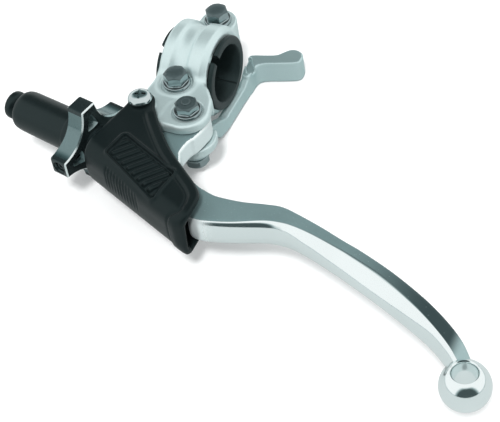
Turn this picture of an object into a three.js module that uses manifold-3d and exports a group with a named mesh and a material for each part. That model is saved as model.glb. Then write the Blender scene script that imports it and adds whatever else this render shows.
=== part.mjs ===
// Clutch lever assembly for a 22.2 mm handlebar: split bar clamp on a composite
// bushing, forged lever, thumb-operated hot-start lever, four-lobe quick
// adjuster with its boot, and a soft dust cover over the cable end.
// Frame (mm): origin on the handlebar axis at the middle of the clamp.
// +X runs along the bar towards the grip, +Y towards the rider, +Z up and
// parallel to the lever pivot and the clamp bolts.
import * as THREE from 'three';
import { mergeVertices } from 'three/addons/utils/BufferGeometryUtils.js';
import Module from 'manifold-3d';

// ---- driving dimensions -------------------------------------------------
const GAP = 0.3;                 // running gap between separate pieces
const BAR_R = 11.1;              // handlebar radius the bushing closes on
const BUSH_R = 13.0;             // bushing sleeve outer radius
const BUSH_FLANGE_R = 14.5;      // bushing end flange radius
const BUSH_X = [-12.0, 11.4];    // bushing ends
const CLAMP_X = [-9.7, 9.4];     // clamp ends
const CLAMP_R = 17.6;            // radius of the two raised clamp rims
const VALLEY_R = 16.2;           // radius of the valley between the rims
const SPLIT = 0.4;               // half of the gap between the clamp halves
const BOLT_Y = 18.6;             // clamp bolts stand at y = +-BOLT_Y
const BOSS_R = 7.3;              // bolt boss radius
const TOP_Z = 8.2;               // top of perch deck, bosses and upper ear
const LOW_Z = -8.2;              // underside of the lower half's bosses
const PIVOT = [10.3, -31.1];     // lever pivot
const EAR_R = 9.2;               // ear radius about the pivot
const EAR_IN = 4.5;              // inner faces of the two ears
const EAR_OUT = 8.4;             // outer face of the lower ear
const LEVER_ROOT_H = 4.2;        // half thickness of the lever root
const NIPPLE = [4.97, -54.39];   // cable nipple seat in the lever
const BALL = [142.6, -111.2];    // ball end
const BALL_R = 8.4;
const BALL_HOLE_R = 4.1;
const ADJ_O = [-55.08, -40.63];  // adjuster axis origin (s = 0)
const ADJ_DEG = -12.9;           // adjuster axis direction in the XY plane
const WHEEL_S = [28.5, 36.0];    // four-lobe wheel, outer and inner faces
const WHEEL_R = 17.4;            // lobe end radius
const WHEEL_HUB_S = 39.9;
const BOSS_S = [41.0, 53.0];     // perch adjuster boss
const BOSS_ADJ_R = 9.0;
const BARREL_R = 5.0;
const BOOT_R = 8.0;
const COVER_TOP = 11.5;          // dust cover outer half height
const COVER_WALL = 2.2;
const COVER_SCREW = [-7.3, -33.7];
const HOT_HUB_R = 6.0;

// ---- helpers ------------------------------------------------------------
const wasm = await Module();
wasm.setup();
const V2 = (x, y) => new THREE.Vector2(x, y);
const V3 = (x, y, z) => new THREE.Vector3(x, y, z);

function clean(geometry) {
  const g = geometry.clone();
  for (const k of Object.keys(g.attributes)) if (k !== 'position') g.deleteAttribute(k);
  const m = mergeVertices(g, 1e-4);
  const idx = m.index.array, p = m.attributes.position.array, keep = [];
  let vol = 0;
  for (let i = 0; i < idx.length; i += 3) {
    const [a, b, c] = [idx[i], idx[i + 1], idx[i + 2]];
    if (a === b || b === c || a === c) continue;
    keep.push(a, b, c);
    const [ax, ay, az] = [p[3 * a], p[3 * a + 1], p[3 * a + 2]];
    const [bx, by, bz] = [p[3 * b], p[3 * b + 1], p[3 * b + 2]];
    const [cx, cy, cz] = [p[3 * c], p[3 * c + 1], p[3 * c + 2]];
    vol += ax * (by * cz - bz * cy) + ay * (bz * cx - bx * cz) + az * (bx * cy - by * cx);
  }
  if (vol < 0) for (let i = 0; i < keep.length; i += 3) [keep[i + 1], keep[i + 2]] = [keep[i + 2], keep[i + 1]];
  return { vertProperties: new Float32Array(p), triVerts: new Uint32Array(keep) };
}
const solid = (geometry) => {
  const { vertProperties, triVerts } = clean(geometry);
  return new wasm.Manifold(new wasm.Mesh({ numProp: 3, vertProperties, triVerts }));
};
const join = (...s) => s.reduce((a, b) => a.add(b));
const cut = (s, ...tools) => tools.reduce((a, b) => a.subtract(b), s);
function geometryOf(s) {
  const m = s.getMesh();
  const g = new THREE.BufferGeometry();
  g.setAttribute('position', new THREE.BufferAttribute(new Float32Array(m.vertProperties), 3));
  g.setIndex(new THREE.BufferAttribute(new Uint32Array(m.triVerts), 1));
  g.computeVertexNormals();
  return g;
}
const basis = (x, y, z, o) => new THREE.Matrix4().makeBasis(x, y, z).setPosition(o);
// frames: lathe geometry turns about its own Y; extrusions grow along Z
const BAR_LATHE = basis(V3(0, 1, 0), V3(1, 0, 0), V3(0, 0, -1), V3(0, 0, 0));
const adjA = V3(Math.cos(ADJ_DEG * Math.PI / 180), Math.sin(ADJ_DEG * Math.PI / 180), 0);
const adjB = V3(-adjA.y, adjA.x, 0);
const ADJ_LATHE = basis(adjB, adjA, V3(0, 0, -1), V3(ADJ_O[0], ADJ_O[1], 0));
const ADJ_EXTRUDE = (s) => basis(adjB, V3(0, 0, 1), adjA, V3(ADJ_O[0], ADJ_O[1], 0).addScaledVector(adjA, s));
const adjPoint = (s, b, z = 0) => V3(ADJ_O[0], ADJ_O[1], z).addScaledVector(adjA, s).addScaledVector(adjB, b);
const zLathe = (x, y) => basis(V3(1, 0, 0), V3(0, 0, 1), V3(0, -1, 0), V3(x, y, 0));

function lathe(profile, segments, matrix) {
  const pts = profile.map(([r, h]) => V2(Math.max(r, 0), h));
  if (pts[0].x > 1e-6 || pts[pts.length - 1].x > 1e-6) {
    if (!pts[0].equals(pts[pts.length - 1])) pts.push(pts[0].clone());
  }
  const g = new THREE.LatheGeometry(pts, Math.max(12, 2 * Math.round(segments * 0.31)));
  if (matrix) g.applyMatrix4(matrix);
  return solid(g);
}
const shapeOf = (pts) => new THREE.Shape(pts.map(([x, y]) => V2(x, y)));
function slab(pts, z0, z1, matrix, curveSegments = 12) {
  const s = pts instanceof THREE.Shape ? pts : shapeOf(pts);
  const g = new THREE.ExtrudeGeometry(s, { depth: z1 - z0, bevelEnabled: false, steps: 1, curveSegments });
  g.translate(0, 0, z0);
  if (matrix) g.applyMatrix4(matrix);
  return solid(g);
}
function rod(r, z0, z1, x, y, segments = 28) {
  return lathe([[0, z0], [r, z0], [r, z1], [0, z1]], segments, zLathe(x, y));
}
function rodX(r, x0, x1, segments = 48) {
  return lathe([[0, x0], [r, x0], [r, x1], [0, x1]], segments, BAR_LATHE);
}
function block(x0, x1, y0, y1, z0, z1) {
  const g = new THREE.BoxGeometry(x1 - x0, y1 - y0, z1 - z0);
  g.translate((x0 + x1) / 2, (y0 + y1) / 2, (z0 + z1) / 2);
  return solid(g);
}
const hexPts = (r, turn = 0) => Array.from({ length: 6 }, (_, i) => {
  const t = turn + i * Math.PI / 3;
  return [r * Math.cos(t), r * Math.sin(t)];
});
// round outline through points
function smooth(pts, n, closed = false) {
  const c = new THREE.CatmullRomCurve3(pts.map(([x, y]) => V3(x, y, 0)), closed, 'centripetal');
  return c.getPoints(n).map((p) => [p.x, p.y]);
}
function piece(name, s, color, roughness, metalness) {
  const g = s instanceof THREE.BufferGeometry ? s : geometryOf(s);
  const m = new THREE.Mesh(g, new THREE.MeshStandardMaterial({ color, roughness, metalness }));
  m.name = name;
  return m;
}

// ---- bar clamp and perch ------------------------------------------------
const ringProfile = [
  [BUSH_R + GAP, CLAMP_X[0]], [16.6, CLAMP_X[0]], [CLAMP_R, CLAMP_X[0] + 1.0], [CLAMP_R, -5.2],
  [VALLEY_R + 0.4, -4.0], [VALLEY_R, -2.6], [VALLEY_R, -0.4], [VALLEY_R + 0.5, 1.2], [CLAMP_R, 2.4],
  [CLAMP_R, 7.4], [15.9, CLAMP_X[1]], [BUSH_R + GAP, CLAMP_X[1]],
];
const ring = lathe(ringProfile, 64, BAR_LATHE);
const boreClear = join(rodX(BUSH_R + GAP, -20, 20, 64),
  rodX(BUSH_FLANGE_R + 0.4, CLAMP_X[1], 14, 64), rodX(BUSH_FLANGE_R + 0.4, -15, CLAMP_X[0], 64));

function arc(cx, cy, r, a0, a1, n) {
  return Array.from({ length: n + 1 }, (_, i) => {
    const t = (a0 + (a1 - a0) * i / n) * Math.PI / 180;
    return [cx + r * Math.cos(t), cy + r * Math.sin(t)];
  });
}
// deck: upper clamp half running forward into the upper ear
const deckOutline = [
  [-9.6, -11.5], [-9.9, -20.0], [-10.4, -26.0], [-12.0, -32.0], [-13.2, -40.0],
  ...arc(PIVOT[0], PIVOT[1], EAR_R, 262, 372, 12),
  [17.2, -22.6], [12.6, -17.6], [9.3, -14.6], [9.3, -11.5],
];
deckOutline.splice(5, 0, [-2.0, -40.2]);
const deck = slab(deckOutline, SPLIT, TOP_Z);
const lowerEar = slab([
  [-10.4, -27.2], [-12.0, -32.0], [-13.2, -40.0], [-2.0, -40.2],
  ...arc(PIVOT[0], PIVOT[1], EAR_R, 262, 400, 14), [10.0, -26.6],
], -EAR_OUT, -EAR_IN);
const web = slab([
  [-10.4, -27.2], [-12.0, -32.0], [-13.4, -44.5], [-3.0, -48.0], [-1.6, -42.0],
  [1.5, -37.0], [1.5, -31.0], [2.6, -27.2],
], -EAR_OUT, TOP_Z);
const adjBoss = lathe([[0, BOSS_S[0]], [BOSS_ADJ_R - 0.8, BOSS_S[0]], [BOSS_ADJ_R, BOSS_S[0] + 0.8],
  [BOSS_ADJ_R, BOSS_S[1]], [0, BOSS_S[1]]], 36, ADJ_LATHE);
const leverSpace = join(rod(8.2, -EAR_IN, EAR_IN, PIVOT[0], PIVOT[1], 40),
  slab([[2.0, -31.0], [0.9, -41.0], [-2.6, -50.0], [-2.6, -60], [30, -60], [30, -24], [12, -24]], -EAR_IN, EAR_IN));
const barrelSpace = lathe([[0, 30], [BARREL_R + GAP, 30], [BARREL_R + GAP, 60], [0, 60]], 32, ADJ_LATHE);
const cableSlot = slab([[-12, -1.7], [0, -1.7], [0, 1.7], [-12, 1.7]], 0, 30, ADJ_EXTRUDE(34));
const keyHole = rod(1.8, 2.0, 12, adjPoint(46, 0).x, adjPoint(46, 0).y, 16);
const screwHole = rod(2.2, -3, 12, COVER_SCREW[0], COVER_SCREW[1], 20);
const perchSolid = cut(
  join(
    ring.intersect(block(-20, 20, -30, 30, SPLIT, 30)),
    rod(BOSS_R, SPLIT, TOP_Z, 0, BOLT_Y, 36), rod(BOSS_R, SPLIT, TOP_Z, 0, -BOLT_Y, 36),
    deck, lowerEar, web, adjBoss,
    rod(5.2, 6, 9.0, COVER_SCREW[0], COVER_SCREW[1], 28),
  ),
  boreClear, leverSpace, barrelSpace, cableSlot, keyHole, screwHole,
  rod(3.3, -1, 12, 0, BOLT_Y), rod(3.3, -1, 12, 0, -BOLT_Y),
  rod(3.3, -12, 12, PIVOT[0], PIVOT[1]),
  rod(BOSS_R + GAP, -12, SPLIT, 0, -BOLT_Y, 36),
  rod(5.7, TOP_Z - 0.4, 12, PIVOT[0], PIVOT[1], 32),
  rod(5.8, TOP_Z, 24, 0, BOLT_Y, 32), rod(5.8, TOP_Z, 24, 0, -BOLT_Y, 32),
);
const lowerSolid = cut(
  join(
    ring.intersect(block(-20, 20, -30, 30, -30, -SPLIT)),
    rod(BOSS_R, LOW_Z, -SPLIT, 0, BOLT_Y, 36), rod(BOSS_R, LOW_Z, -SPLIT, 0, -BOLT_Y, 36),
  ),
  boreClear, rod(3.3, -12, 1, 0, BOLT_Y), rod(3.3, -12, 1, 0, -BOLT_Y),
);
const slitDir = [-6.9, 12.8];
const slitLen = Math.hypot(...slitDir);
const [sy, sz] = [slitDir[0] / slitLen, slitDir[1] / slitLen];
const slit = slab([[-1.5, 5], [1.5, 5], [1.5, 20], [-1.5, 20]], -20, 20,
  basis(V3(0, -sz, sy), V3(0, sy, sz), V3(-1, 0, 0), V3(0, 0, 0)));
const seam = slab([[-0.35, BAR_R - 2], [0.35, BAR_R - 2], [0.35, BAR_R + 0.5], [-0.35, BAR_R + 0.5]], -20, 20,
  basis(V3(0, sz, -sy), V3(0, -sy, -sz), V3(-1, 0, 0), V3(0, 0, 0)));
const bushingSolid = cut(lathe([
  [BAR_R, BUSH_X[0]], [BUSH_FLANGE_R - 0.4, BUSH_X[0]], [BUSH_FLANGE_R, BUSH_X[0] + 0.4],
  [BUSH_FLANGE_R, CLAMP_X[0] - GAP], [BUSH_R, CLAMP_X[0] - GAP], [BUSH_R, CLAMP_X[1] + GAP],
  [BUSH_FLANGE_R, CLAMP_X[1] + GAP], [BUSH_FLANGE_R, BUSH_X[1] - 0.5], [BUSH_FLANGE_R - 0.5, BUSH_X[1]],
  [BAR_R, BUSH_X[1]],
], 64, BAR_LATHE), slit, seam);

// ---- fasteners ----------------------------------------------------------
function flangeBolt(x, y, seat, end, { flange = 5.3, hex = 4.62, height = 6.0, shank = 3.0, turn = 0.2 }) {
  return join(
    lathe([[0, end], [shank - 0.5, end], [shank, end + 0.5], [shank, seat + 0.2], [flange - 0.3, seat], [flange, seat + 0.5],
      [flange - 0.4, seat + 1.1], [hex - 0.2, seat + 1.6], [0, seat + 1.6]], 28, zLathe(x, y)),
    slab(hexPts(hex, turn).map(([u, v]) => [u + x, v + y]), seat + 0.4, seat + height - 0.6),
    lathe([[0, seat + 1], [hex * 0.9, seat + 1], [hex * 0.9, seat + height - 0.7], [hex * 0.62, seat + height], [0, seat + height]], 24, zLathe(x, y)),
  );
}
const boltFront = flangeBolt(0, -BOLT_Y, TOP_Z + GAP, LOW_Z - 0.6, { turn: 0.35 });
const boltRear = flangeBolt(0, BOLT_Y, TOP_Z + GAP, LOW_Z - 0.6, { turn: 0.1 });
const pivotBolt = join(
  flangeBolt(PIVOT[0], PIVOT[1], TOP_Z - 0.1, -16.8, { flange: 5.3, hex: 4.62, height: 4.8, turn: 0.15 }),
  rod(1.8, TOP_Z + 3, TOP_Z + 5.1, PIVOT[0], PIVOT[1], 20),
);
const pivotNut = lathe([
  [3.3, -13.0], [5.1, -13.0], [5.3, -13.4], [5.2, -14.0], [4.9, -14.4], [4.9, -16.6], [4.2, -17.7], [2.4, -18.2],
  [0, -18.3], [0, -17.2], [3.3, -17.2],
], 32, zLathe(PIVOT[0], PIVOT[1]));
const pivotSleeve = lathe([[3.3, -4.3], [4.5, -4.3], [4.5, 4.3], [3.3, 4.3]], 28, zLathe(PIVOT[0], PIVOT[1]));
const ringZ = (r0, r1, z0, z1, n = 28) => lathe([[r0, z0], [r1, z0], [r1, z1], [r0, z1]], n, zLathe(PIVOT[0], PIVOT[1]));
const hotWasher = ringZ(3.35, 6.9, -9.2, -8.7);
const waveWasher = ringZ(3.35, 5.2, -12.7, -12.3);

// ---- lever --------------------------------------------------------------
// blade stations: rear edge, end of the flat top, nose depth, half thickness
const STATIONS = [
  [19.5, -55.5, 13.0, -66.5, 1.0, 4.2],
  [27.8, -61.4, 25.0, -74.0, 1.2, 5.2],
  [36.0, -64.2, 37.5, -76.4, 1.6, 5.4],
  [46.5, -64.1, 46.9, -74.6, 1.9, 5.5],
  [54.8, -63.0, 57.3, -71.0, 2.3, 5.8],
  [61.1, -62.6, 63.3, -70.2, 2.6, 6.0],
  [68.2, -64.3, 68.6, -70.4, 3.3, 6.0],
  [77.9, -67.4, 75.9, -71.8, 3.9, 6.0],
  [88.0, -71.2, 86.4, -74.8, 5.2, 6.0],
  [94.6, -73.5, 93.2, -77.1, 6.0, 6.0],
  [107.5, -79.0, 105.9, -82.3, 5.5, 6.0],
  [120.5, -85.8, 118.0, -89.6, 4.2, 6.0],
  [130.6, -92.5, 127.5, -96.4, 2.8, 5.8],
  [137.7, -98.6, 134.4, -102.1, 2.6, 5.6],
  [142.5, -104.6, 139.3, -107.2, 2.4, 5.4],
];
function blade(steps) {
  const K = STATIONS.length - 1;
  const curve = (i) => new THREE.CatmullRomCurve3(STATIONS.map((s) => V3(s[i], s[i + 1], 0)), false, 'centripetal');
  const rear = curve(0), front = curve(2);
  // section: rear edge at u = 0, flat to u = 1, elliptic nose to u = 2
  const sec = [[0, -0.72], [0.16, -1], [1, -1]];
  for (let i = 1; i <= 6; i++) {
    const t = -Math.PI / 2 + Math.PI * i / 7;
    sec.push([1 + Math.cos(t), Math.sin(t)]);
  }
  sec.push([1, 1], [0.16, 1], [0, 0.72]);
  const g = new THREE.ExtrudeGeometry(shapeOf(sec), { depth: 1, steps, bevelEnabled: false });
  const p = g.attributes.position;
  for (let i = 0; i < p.count; i++) {
    const u = p.getX(i), v = p.getY(i), t = p.getZ(i);
    const k = Math.min(K - 1e-9, t * K), j = Math.floor(k), f = k - j;
    const mix = (c) => STATIONS[j][c] + (STATIONS[j + 1][c] - STATIONS[j][c]) * f;
    const R = rear.getPoint(t), T = front.getPoint(t);
    const dir = T.clone().sub(R).normalize();
    const q = u <= 1 ? R.clone().lerp(T, u) : T.clone().addScaledVector(dir, (u - 1) * mix(4));
    p.setXYZ(i, q.x, q.y, v * mix(5));
  }
  return solid(g);
}
const rootOutline = [
  ...arc(PIVOT[0], PIVOT[1], 7.6, 15, 180, 14), [1.6, -40.0], [-2.2, -50.0],
  ...arc(NIPPLE[0], NIPPLE[1], 7.4, 170, 232, 5), [6.0, -63.4], [13.0, -67.4], [19.5, -71.2], [22.4, -64.0],
  [20.6, -56.4], [16.4, -52.2], [13.8, -47.2], [15.0, -40.4],
];
const sphere = (x, y, z, r, w, h) => {
  const g = new THREE.SphereGeometry(r, w, h);
  g.rotateX(Math.PI / 2);
  g.translate(x, y, z);
  return solid(g);
};
const ballHole = lathe([[0, -12], [BALL_HOLE_R + 2.6, -12], [BALL_HOLE_R + 1.9, -7.4], [BALL_HOLE_R, -6.2], [BALL_HOLE_R, 6.2],
  [BALL_HOLE_R + 1.9, 7.4], [BALL_HOLE_R + 2.6, 12], [0, 12]], 28, zLathe(BALL[0], BALL[1]));
const leverSolid = cut(
  join(blade(30), slab(rootOutline, -LEVER_ROOT_H, LEVER_ROOT_H), sphere(BALL[0], BALL[1], 0, BALL_R, 22, 14)),
  rod(4.8, -6, 6, PIVOT[0], PIVOT[1], 28), rod(4.1, -6, 6, NIPPLE[0], NIPPLE[1], 24),
  slab([[-20, -1.3], [0, -1.3], [0, 1.3], [-20, 1.3]], -1.6, 12,
    basis(adjA, adjB, V3(0, 0, 1), V3(NIPPLE[0], NIPPLE[1], 0))),
  ballHole,
);

// ---- quick adjuster -----------------------------------------------------
const lobe = [];
for (let i = 0; i < 4; i++) {
  const t = i * Math.PI / 2, c = Math.cos(t), s = Math.sin(t);
  const put = (r, w) => lobe.push([r * c - w * s, r * s + w * c]);
  put(WHEEL_R, -3.6); put(WHEEL_R, 3.6);
  // concave flank towards the next lobe
  const P0 = [WHEEL_R, 3.6], P2 = [3.6, WHEEL_R], P1 = [4.9, 4.9];
  for (let k = 1; k < 6; k++) {
    const u = k / 6, a = (1 - u) * (1 - u), b = 2 * u * (1 - u), d = u * u;
    const [x, y] = [a * P0[0] + b * P1[0] + d * P2[0], a * P0[1] + b * P1[1] + d * P2[1]];
    lobe.push([x * c - y * s, x * s + y * c]);
  }
}
const wheelGeo = new THREE.ExtrudeGeometry(shapeOf(lobe), {
  depth: WHEEL_S[1] - WHEEL_S[0] - 1.2, bevelEnabled: true, bevelThickness: 0.6, bevelSize: 0.6, bevelOffset: -0.6, bevelSegments: 1, steps: 1 });
wheelGeo.applyMatrix4(ADJ_EXTRUDE(WHEEL_S[0] + 0.6));
const pockets = [];
for (let i = 0; i < 4; i++) {
  const t = i * Math.PI / 2, c = Math.cos(t), s = Math.sin(t);
  const tri = [[8.2, -2.9], [8.2, 2.9], [9.4, 2.9], [13.4, 1.0], [13.4, -1.0], [9.4, -2.9]].map(([x, y]) => [x * c - y * s, x * s + y * c]);
  pockets.push(slab(tri, 0, 3, ADJ_EXTRUDE(WHEEL_S[1] - 1.6)));
  pockets.push(slab(tri, 0, 3, ADJ_EXTRUDE(WHEEL_S[0] - 1.4)));
}
const wheelMid = (WHEEL_S[0] + WHEEL_S[1]) / 2;
// radial frame in the front lobe: local Y points outwards along -b
const RADIAL = basis(adjA, adjB.clone().negate(), V3(0, 0, -1), adjPoint(wheelMid, 0));
const wheelSolid = cut(
  join(solid(wheelGeo), lathe([[0, WHEEL_S[1] - 1], [6.5, WHEEL_S[1] - 1], [6.5, WHEEL_HUB_S - 0.5], [6.0, WHEEL_HUB_S], [0, WHEEL_HUB_S]], 32, ADJ_LATHE)),
  ...pockets,
  lathe([[0, 20], [BARREL_R + GAP, 20], [BARREL_R + GAP, 45], [0, 45]], 32, ADJ_LATHE),
  lathe([[0, 4], [2.3, 4], [2.3, 20], [0, 20]], 20, RADIAL),
);
const detentScrew = lathe([[0, 11.2], [2.0, 11.2], [2.0, 15.4], [1.6, 15.8], [1.1, 15.8], [1.1, 13.8], [0, 13.8]], 18, RADIAL);
const detentSpring = lathe([[1.0, 8.7], [1.7, 8.7], [1.7, 10.9], [1.0, 10.9]], 16, RADIAL);
const detentBall = (() => {
  const g = new THREE.SphereGeometry(1.55, 10, 6);
  const c = adjPoint(wheelMid, -6.85);
  g.translate(c.x, c.y, c.z);
  return solid(g);
})();
const thrustWasher = lathe([[BARREL_R + GAP, 40.2], [7.6, 40.2], [7.6, 40.7], [BARREL_R + GAP, 40.7]], 32, ADJ_LATHE);
const barrelSolid = cut(lathe([
  [1.7, 51.6], [BARREL_R - 0.6, 51.6], [BARREL_R, 51.0], [BARREL_R, 8.6], [6.7, 8.6], [6.7, 2.6], [6.1, 2.0], [3.9, 2.0],
  [3.9, 6.4], [1.7, 6.4],
].reverse(), 32, ADJ_LATHE),
  // keyway along the top of the barrel and the cable slot along its front
  slab([[-1.6, 3.4], [1.6, 3.4], [1.6, 8], [-1.6, 8]], 0, 24, ADJ_EXTRUDE(40)),
  slab([[-12, -1.3], [0, -1.3], [0, 1.3], [-12, 1.3]], 0, 60, ADJ_EXTRUDE(36)));
const keyPin = rod(1.3, 3.8, 8.8, adjPoint(46, 0).x, adjPoint(46, 0).y, 16);
const ferrule = lathe([[1.7, 3.0], [3.5, 3.0], [3.5, 6.0], [1.7, 6.0]], 24, ADJ_LATHE);
const bootSolid = lathe([
  [2.8, -6.8], [4.8, -6.8], [5.4, -6.2], [5.4, -4.0], [4.9, -3.4], [4.2, -3.0], [4.2, -2.2], [5.4, -1.6],
  [6.9, -0.9], [7.6, 0.4], [7.8, 2.5], [BOOT_R, 16], [BOOT_R + 0.1, WHEEL_S[0] - 0.9], [BOOT_R - 0.3, WHEEL_S[0] - 0.3],
  [BARREL_R + GAP, WHEEL_S[0] - 0.3], [BARREL_R + GAP, 8.9], [7.0, 8.9], [7.0, 1.7], [2.8, 1.7],
], 36, ADJ_LATHE);

// ---- dust cover ---------------------------------------------------------
const coverRear = smooth([[-2.4, -31.4], [0.2, -37.0], [5.7, -44.3], [14.1, -53.6], [23.5, -61.5], [30.0, -66.8], [33.6, -71.0], [34.8, -75.5]], 22);
const L1 = adjPoint(41.3, 13.6), L2 = adjPoint(41.3, -13.0);
const coverOutline = [
  [L1.x, L1.y], [L2.x, L2.y], [29.2, -84.0], [32.6, -83.4], [34.7, -80.5],
  ...coverRear.slice().reverse(),
  ...arc(COVER_SCREW[0], COVER_SCREW[1], 5.4, 25, 190, 9),
];
const noseDir = V3(46.8, -21.7, 0).normalize();       // along the front wall
const noseSide = V3(-noseDir.y, noseDir.x, 0);        // rearwards
// U-shaped section: flat top, tighter upper front corner, fuller lower one
function coverSection(off) {
  const pts = [], h = COVER_TOP - off, hl = COVER_TOP - 0.2 - off, N = 6;
  const rt = 7.0 - off * 0.4, rb = 10.0 - off * 0.5, zt = 4.0, zb = 1.0;
  pts.push([60, h], [off + rt, h]);
  for (let i = 1; i < N; i++) { const t = Math.PI / 2 * i / N; pts.push([off + rt - rt * Math.sin(t), zt + (h - zt) * Math.cos(t)]); }
  pts.push([off, zt], [off, zb]);
  for (let i = N - 1; i > 0; i--) { const t = Math.PI / 2 * i / N; pts.push([off + rb - rb * Math.sin(t), zb - (hl + zb) * Math.cos(t)]); }
  pts.push([off + rb, -hl], [60, -hl]);
  return pts;
}
const SECTION_AT = basis(noseSide, V3(0, 0, 1), noseDir.clone(), V3(L2.x, L2.y, 0).addScaledVector(noseDir, -30));
const coverOuter = slab(coverOutline, -20, 20).intersect(slab(coverSection(0), 0, 120, SECTION_AT));
const innerOutline = [
  [-30, -20], [-30, -64.2], [L2.x, L2.y + 0.6], [29.4, -82.4], [60, -82.4], [60, -20],
];
const coverInner = slab(innerOutline, -20, 20).intersect(slab(coverSection(COVER_WALL), 0, 120, SECTION_AT));
const bottomTrim = slab([[-16, -24], [-16, -44], [2.5, -40.6], [22, -40.6], [22, -20]], -20, -2);
// the mouth end leans back towards its lower lip
const mouthTrim = slab([[35.4, 12], [30.6, -12], [60, -12], [60, 12]], -120, 120,
  basis(V3(1, 0, 0), V3(0, 0, 1), V3(0, -1, 0), V3(0, 0, 0)));
const coverSolid = cut(coverOuter, coverInner, bottomTrim, mouthTrim, rod(2.3, 0, 14, COVER_SCREW[0], COVER_SCREW[1], 20));
const coverScrew = cut(lathe([
  [0, -1.5], [1.4, -1.5], [1.9, -0.9], [1.9, COVER_TOP + 0.4], [4.3, COVER_TOP + GAP], [4.55, COVER_TOP + 0.8], [4.3, COVER_TOP + 1.9],
  [3.2, COVER_TOP + 2.8], [1.6, COVER_TOP + 3.2], [0, COVER_TOP + 3.3],
], 28, zLathe(...COVER_SCREW)),
  block(COVER_SCREW[0] - 2.6, COVER_SCREW[0] + 2.6, COVER_SCREW[1] - 0.55, COVER_SCREW[1] + 0.55, COVER_TOP + 1.6, COVER_TOP + 5),
  block(COVER_SCREW[0] - 0.55, COVER_SCREW[0] + 0.55, COVER_SCREW[1] - 2.6, COVER_SCREW[1] + 2.6, COVER_TOP + 1.6, COVER_TOP + 5));

// ---- hot-start lever ----------------------------------------------------
const YZ = basis(V3(0, 1, 0), V3(0, 0, 1), V3(1, 0, 0), V3(0, 0, 0));
const ribProfile = [
  [-33, -9.6], [-19.0, -9.6], [-13.6, -12.2], [-9.0, -15.0], [8.5, -15.0], [13.0, -13.2], [17.0, -12.2], [22, -12.2],
  [22, -22.0], [14.0, -22.0], [6.0, -21.2], [-9.0, -21.0], [-15.6, -19.6], [-21.0, -13.4], [-24.2, -12.0], [-33, -12.0],
];
const rib = slab(ribProfile, 9.9, 13.0, YZ);
const keel = slab([
  [-20, -12.4], [-15.0, -18.4], [12, -18.4], [16, -18.4], [16, -21.6], [-9.0, -21.0], [-15.6, -19.6], [-21, -13.2],
], 7.4, 10.5, YZ);
const paddleOutline = smooth([
  [10.2, 12.6], [8.8, 18.0], [8.2, 23.6], [10.0, 25.2], [14.5, 26.4], [18.4, 27.7], [20.4, 29.8], [22.4, 31.9], [25.2, 32.6],
  [28.2, 31.2], [29.2, 28.2], [28.2, 25.2], [22.0, 22.9], [15.4, 20.7], [13.2, 17.6], [12.9, 12.6],
], 28);
const hotSolid = cut(
  join(rod(HOT_HUB_R, -12.0, -9.5, PIVOT[0], PIVOT[1], 32),
    slab([[PIVOT[0] - 5.2, -31], [9.0, -19.0], [13.0, -19.0], [PIVOT[0] + 5.9, -30]], -12.0, -9.6),
    rib, keel, slab(paddleOutline, -22.0, -12.2)),
  rod(4.3, -20, -5, PIVOT[0], PIVOT[1], 28),
);
const hotBush = lathe([[3.35, -11.9], [4.0, -11.9], [4.0, -9.6], [3.35, -9.6]], 24, zLathe(...PIVOT));

// ---- assembly -----------------------------------------------------------
const assembly = new THREE.Group();
assembly.name = 'clutch_lever_assembly';
const perch = new THREE.Group();
perch.add(
  piece('perch_body', perchSolid, 0xdfe7e6, 0.34, 0.9),
  piece('clamp_half_lower', lowerSolid, 0xdfe7e6, 0.34, 0.9),
  piece('clamp_bolt_front', boltFront, 0x75898b, 0.28, 1.0),
  piece('clamp_bolt_rear', boltRear, 0x75898b, 0.28, 1.0),
  piece('pivot_bolt', pivotBolt, 0x75898b, 0.3, 1.0),
  piece('pivot_nut', pivotNut, 0x7d9092, 0.35, 1.0),
  piece('hot_start_washer', hotWasher, 0x9aa8a8, 0.3, 1.0),
  piece('wave_washer', waveWasher, 0x9aa8a8, 0.3, 1.0),
  piece('thrust_washer', thrustWasher, 0x8f9a9b, 0.3, 1.0),
  piece('barrel_key_pin', keyPin, 0x8f9a9b, 0.3, 1.0),
  piece('dust_cover', coverSolid, 0x1f2829, 0.6, 0.0),
  piece('cover_screw', coverScrew, 0xc9d3d2, 0.15, 1.0),
);
const leverGroup = new THREE.Group();
leverGroup.add(piece('clutch_lever', leverSolid, 0xd2e1e1, 0.25, 0.95), piece('pivot_sleeve', pivotSleeve, 0xb08d4f, 0.35, 0.9));
const wheelGroup = new THREE.Group();
wheelGroup.add(
  piece('star_wheel', wheelSolid, 0x141a1b, 0.25, 0.7),
  piece('detent_screw', detentScrew, 0x1c2223, 0.3, 0.9),
  piece('detent_spring', detentSpring, 0x8f9a9b, 0.3, 1.0),
  piece('detent_ball', detentBall, 0xb9c2c2, 0.1, 1.0),
);
const barrelGroup = new THREE.Group();
barrelGroup.add(
  piece('adjuster_barrel', barrelSolid, 0x20282a, 0.3, 0.8),
  piece('housing_ferrule', ferrule, 0xaab4b4, 0.3, 1.0),
  piece('adjuster_boot', bootSolid, 0x1f2829, 0.62, 0.0),
);
const hotGroup = new THREE.Group();
hotGroup.add(piece('hot_start_lever', hotSolid, 0xc4d3d3, 0.42, 0.85), piece('hot_start_bushing', hotBush, 0xb08d4f, 0.35, 0.9));
assembly.add(perch, leverGroup, wheelGroup, barrelGroup, hotGroup, piece('bar_bushing', bushingSolid, 0x1a2123, 0.5, 0.0));

export default assembly;
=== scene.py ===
import bpy, bmesh, math
import numpy as np
from mathutils import Matrix, Vector


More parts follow.
